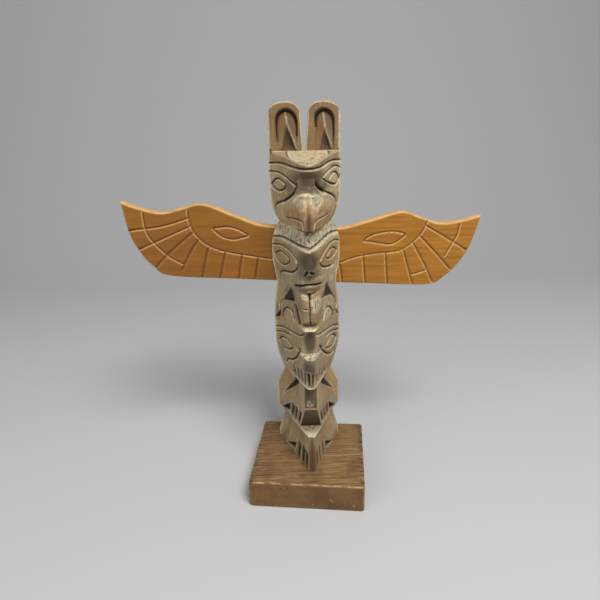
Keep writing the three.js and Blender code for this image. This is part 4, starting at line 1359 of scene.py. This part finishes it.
def block_tree():
    """A block with rounded, nicked edges and raised grain that runs from side to side."""
    t = Tree("worn_block")
    width, depth, height, edge, grain, seed = (
        t.size(name) for name in ("Width", "Depth", "Height", "Edge", "Grain", "Seed"))
    finish = t.size("Finish", "NodeSocketMaterial")
    size = t.combined(width, depth, height)
    columns, rows, levels = BLOCK_MESH
    cube = t.fill(t.add("GeometryNodeMeshCube"), Size=size, Vertices_X=columns, Vertices_Y=rows,
                  Vertices_Z=levels)
    place = t.add("GeometryNodeInputPosition").outputs[0]
    half = t.scaled(size, 0.5)
    apart = t.vector("ABSOLUTE", place)

    # Every point is drawn in to a smaller block and pushed out again by the edge's radius
    core = t.vector("MINIMUM", apart, t.vector("SUBTRACT", half, t.combined(edge, edge, edge)))
    core = t.vector("MULTIPLY", core, t.vector("SIGN", place))
    away = t.vector("SUBTRACT", place, core)
    outward = t.vector("NORMALIZE", away)
    nearness = t.math("DIVIDE", t.math("SUBTRACT", t.vector("LENGTH", away), edge), edge)

    # Small dents on the edges, and notches where the grain ends on the left and right
    dents = t.times(t.noise(place, DENT_SCALE, seed), nearness)
    spread, reach = t.parts(apart), t.parts(half)
    inset = t.math("SUBTRACT", reach[0], spread[0])
    drop = t.math("SUBTRACT", reach[2], spread[2])
    beside = t.clamped(t.math("SUBTRACT", 1.0, t.math("DIVIDE", t.math("ADD", inset, drop), NOTCH_REACH)))
    bite = t.math("SUBTRACT", t.noise(place, NOTCH_SCALE, seed), NOTCH_RARITY)
    notch = t.times(beside, t.clamped(t.times(bite, NOTCH_SHARPNESS)))
    nicks = t.math("ADD", t.times(t.times(dents, grain), DENT_DEPTH),
                   t.times(notch, t.times(grain, NOTCH_DEPTH)))
    sunk = t.math("ADD", t.times(t.noise(place, RIDGE_SCALE, seed, 3.0), grain), nicks)
    moved = t.vector("ADD", core, t.scaled(outward, t.math("SUBTRACT", edge, sunk)))

    # The finish is measured on the plain block, before its points move
    finishes_of = {
        "worn": t.times(nearness, WORN_SHARPNESS),
        # How upright each face is: it thins the grain and lays painted shade on the upright faces
        "side": t.math("SUBTRACT", 1.0, t.math("ABSOLUTE", t.parts(outward)[2])),
        "nick": notch,
    }
    capture = t.add("GeometryNodeCaptureAttribute")
    for name in finishes_of:
        capture.capture_items.new("FLOAT", name)
    t.fill(capture, Geometry=cube.outputs["Mesh"], **finishes_of)
    block = t.through(capture.outputs["Geometry"], "SetPosition", Position=moved)
    for name in finishes_of:
        block = t.through(block, "StoreNamedAttribute", Name=name, Value=capture.outputs[name])
    block = t.through(block, "SetShadeSmooth")
    block = t.through(block, "RealizeInstances")
    block = t.through(block, "SetMaterial", Material=finish)
    t.put(block, t.exit.inputs["Geometry"])
    return t


def plain_mesh(name, tree, values, place):
    """The tree's result as a plain mesh object, moved to its place in its own points."""
    holder = add_object(name + "_maker", bpy.data.meshes.new(name + "_seed"))
    maker = holder.modifiers.new("Maker", "NODES")
    maker.node_group = tree.tree
    for key, value in values.items():
        maker[tree.identifiers[key]] = value
    graph = bpy.context.evaluated_depsgraph_get()
    mesh = bpy.data.meshes.new_from_object(holder.evaluated_get(graph), depsgraph=graph)
    bpy.data.objects.remove(holder)
    mesh.name = name
    mesh.transform(place)
    return add_object(name, mesh)


def settle(piece, node):
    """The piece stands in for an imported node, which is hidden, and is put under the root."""
    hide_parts(node)
    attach(piece, "root")


# Operators


class TOTEM_OT_stage(bpy.types.Operator):
    """Add the floor, the soft lights and the camera"""

    bl_idname = "totem.stage"
    bl_label = "Stage"

    def execute(self, context):
        settings = context.scene.totem_stage
        self.add_floor(settings)
        self.add_lights(context, settings)
        self.add_camera(context)
        return {"FINISHED"}

    def add_floor(self, settings):
        """A sheet that curves up behind the piece."""
        wide, near, far, rise, bend, steps, below = FLOOR
        profile = [(near, 0.0), (far - bend, 0.0)]
        for k in range(1, steps + 1):
            angle = k / steps * math.pi / 2
            profile.append((far - bend + bend * math.sin(angle), bend * (1 - math.cos(angle))))
        profile.append((far, rise))
        points = [(side * wide, y, z - below) for y, z in profile for side in (-1, 1)]
        faces = [(2 * k, 2 * k + 1, 2 * k + 3, 2 * k + 2) for k in range(len(profile) - 1)]
        mesh = bpy.data.meshes.new("floor")
        mesh.from_pydata(points, [], faces)
        mesh.shade_smooth()
        mesh.materials.append(Shader("pale_floor").dress(Base_Color=settings.floor, Roughness=0.85))
        add_object("floor", mesh)

    def add_lights(self, context, settings):
        """A key light above, a fill light in front and an even sky."""
        for name, place, size, power in (("key_light", KEY_PLACE, 0.42, settings.key),
                                         ("fill_light", FILL_PLACE, 0.8, settings.fill)):
            light = bpy.data.lights.new(name, "AREA")
            light.size = size
            light.energy = power
            lamp = add_object(name, light)
            lamp.location = place
            lamp.rotation_euler = (Vector(LIT_POINT) - Vector(place)).to_track_quat("-Z", "Y").to_euler()
        world = bpy.data.worlds.new("studio")
        world.use_nodes = True
        background = world.node_tree.nodes["Background"]
        background.inputs["Color"].default_value = (1, 1, 1, 1)
        background.inputs["Strength"].default_value = settings.sky
        context.scene.world = world
        context.scene.view_settings.view_transform = "Standard"

    def add_camera(self, context):
        """The camera at the place that the photograph was taken from."""
        yaw, pitch, roll = CAMERA_YAW, CAMERA_PITCH, CAMERA_ROLL
        ahead = Vector((math.sin(yaw) * math.cos(pitch), math.cos(yaw) * math.cos(pitch), -math.sin(pitch)))
        level = Vector((math.cos(yaw), -math.sin(yaw), 0))
        up = level.cross(ahead)
        right = math.cos(roll) * level + math.sin(roll) * up
        top = math.cos(roll) * up - math.sin(roll) * level
        lens = bpy.data.cameras.new("camera")
        lens.sensor_width = 36
        lens.lens = PHOTO_FOCUS / PHOTO_SIDE * lens.sensor_width
        lens.clip_start = 0.01
        camera = add_object("camera", lens)
        turn = Matrix((right, top, -ahead)).transposed().to_4x4()
        camera.matrix_world = Matrix.Translation(Vector(CAMERA_PLACE) * MM) @ turn
        context.scene.camera = camera


class TOTEM_OT_base(bpy.types.Operator):
    """Add the worn base block"""

    bl_idname = "totem.base"
    bl_label = "Base"

    def execute(self, context):
        settings = context.scene.totem_base
        values = {key.capitalize(): getattr(settings, key)
                  for key in ("width", "depth", "height", "edge", "grain")}
        values |= {"Seed": BLOCK_SEED, "Finish": base_wood(settings)}
        place = Matrix.Rotation(settings.turn, 4, "Z") @ Matrix.Translation((0, 0, settings.height / 2))
        piece = plain_mesh("base_block", block_tree(), values, place)
        if len(piece.data.vertices) == 0:
            raise RuntimeError("The base block came out empty")
        settle(piece, "base")
        return {"FINISHED"}


class TOTEM_OT_log(bpy.types.Operator):
    """Add the carved log with its ears"""

    bl_idname = "totem.log"
    bl_label = "Log"

    def execute(self, context):
        settings = context.scene.totem_log
        points, faces, values = joined([build_log(settings), build_ear(-1), build_ear(1)])
        points = points + np.array((LOG_X, LOG_BACK_Y, BASE_HEIGHT + PIECE_GAP))
        piece = make_piece("carved_log", points, faces, values, log_wood(settings))
        settle(piece, "pole")
        return {"FINISHED"}


class TOTEM_OT_wings(bpy.types.Operator):
    """Add the wing board"""

    bl_idname = "totem.wings"
    bl_label = "Wings"

    def execute(self, context):
        settings = context.scene.totem_wings
        piece = make_piece("wing_board", *build_wings(settings), wing_wood(settings))
        settle(piece, "wings")
        return {"FINISHED"}


class TOTEM_PT_sidebar(bpy.types.Panel):
    """Buttons and settings of the totem pole"""

    bl_idname = "TOTEM_PT_sidebar"
    bl_label = "Totem Pole"
    bl_space_type = "VIEW_3D"
    bl_region_type = "UI"
    bl_category = "Totem"

    def draw(self, context):
        for name in SETTINGS:
            group = getattr(context.scene, "totem_" + name)
            box = self.layout.box()
            box.operator("totem." + name)
            for key in group.__annotations__:
                box.prop(group, key)


SETTINGS = {"stage": StageSettings, "base": BaseSettings, "log": LogSettings, "wings": WingSettings}
CLASSES = (*SETTINGS.values(), TOTEM_OT_stage, TOTEM_OT_base, TOTEM_OT_log, TOTEM_OT_wings,
           TOTEM_PT_sidebar)


def register():
    for cls in CLASSES:
        bpy.utils.register_class(cls)
    for name, group in SETTINGS.items():
        setattr(bpy.types.Scene, "totem_" + name, PointerProperty(type=group))


def unregister():
    for name in SETTINGS:
        delattr(bpy.types.Scene, "totem_" + name)
    for cls in reversed(CLASSES):
        bpy.utils.unregister_class(cls)


def main():
    register()
    bpy.ops.totem.stage()
    bpy.ops.totem.base()
    bpy.ops.totem.log()
    bpy.ops.totem.wings()


if __name__ == "__main__":
    main()
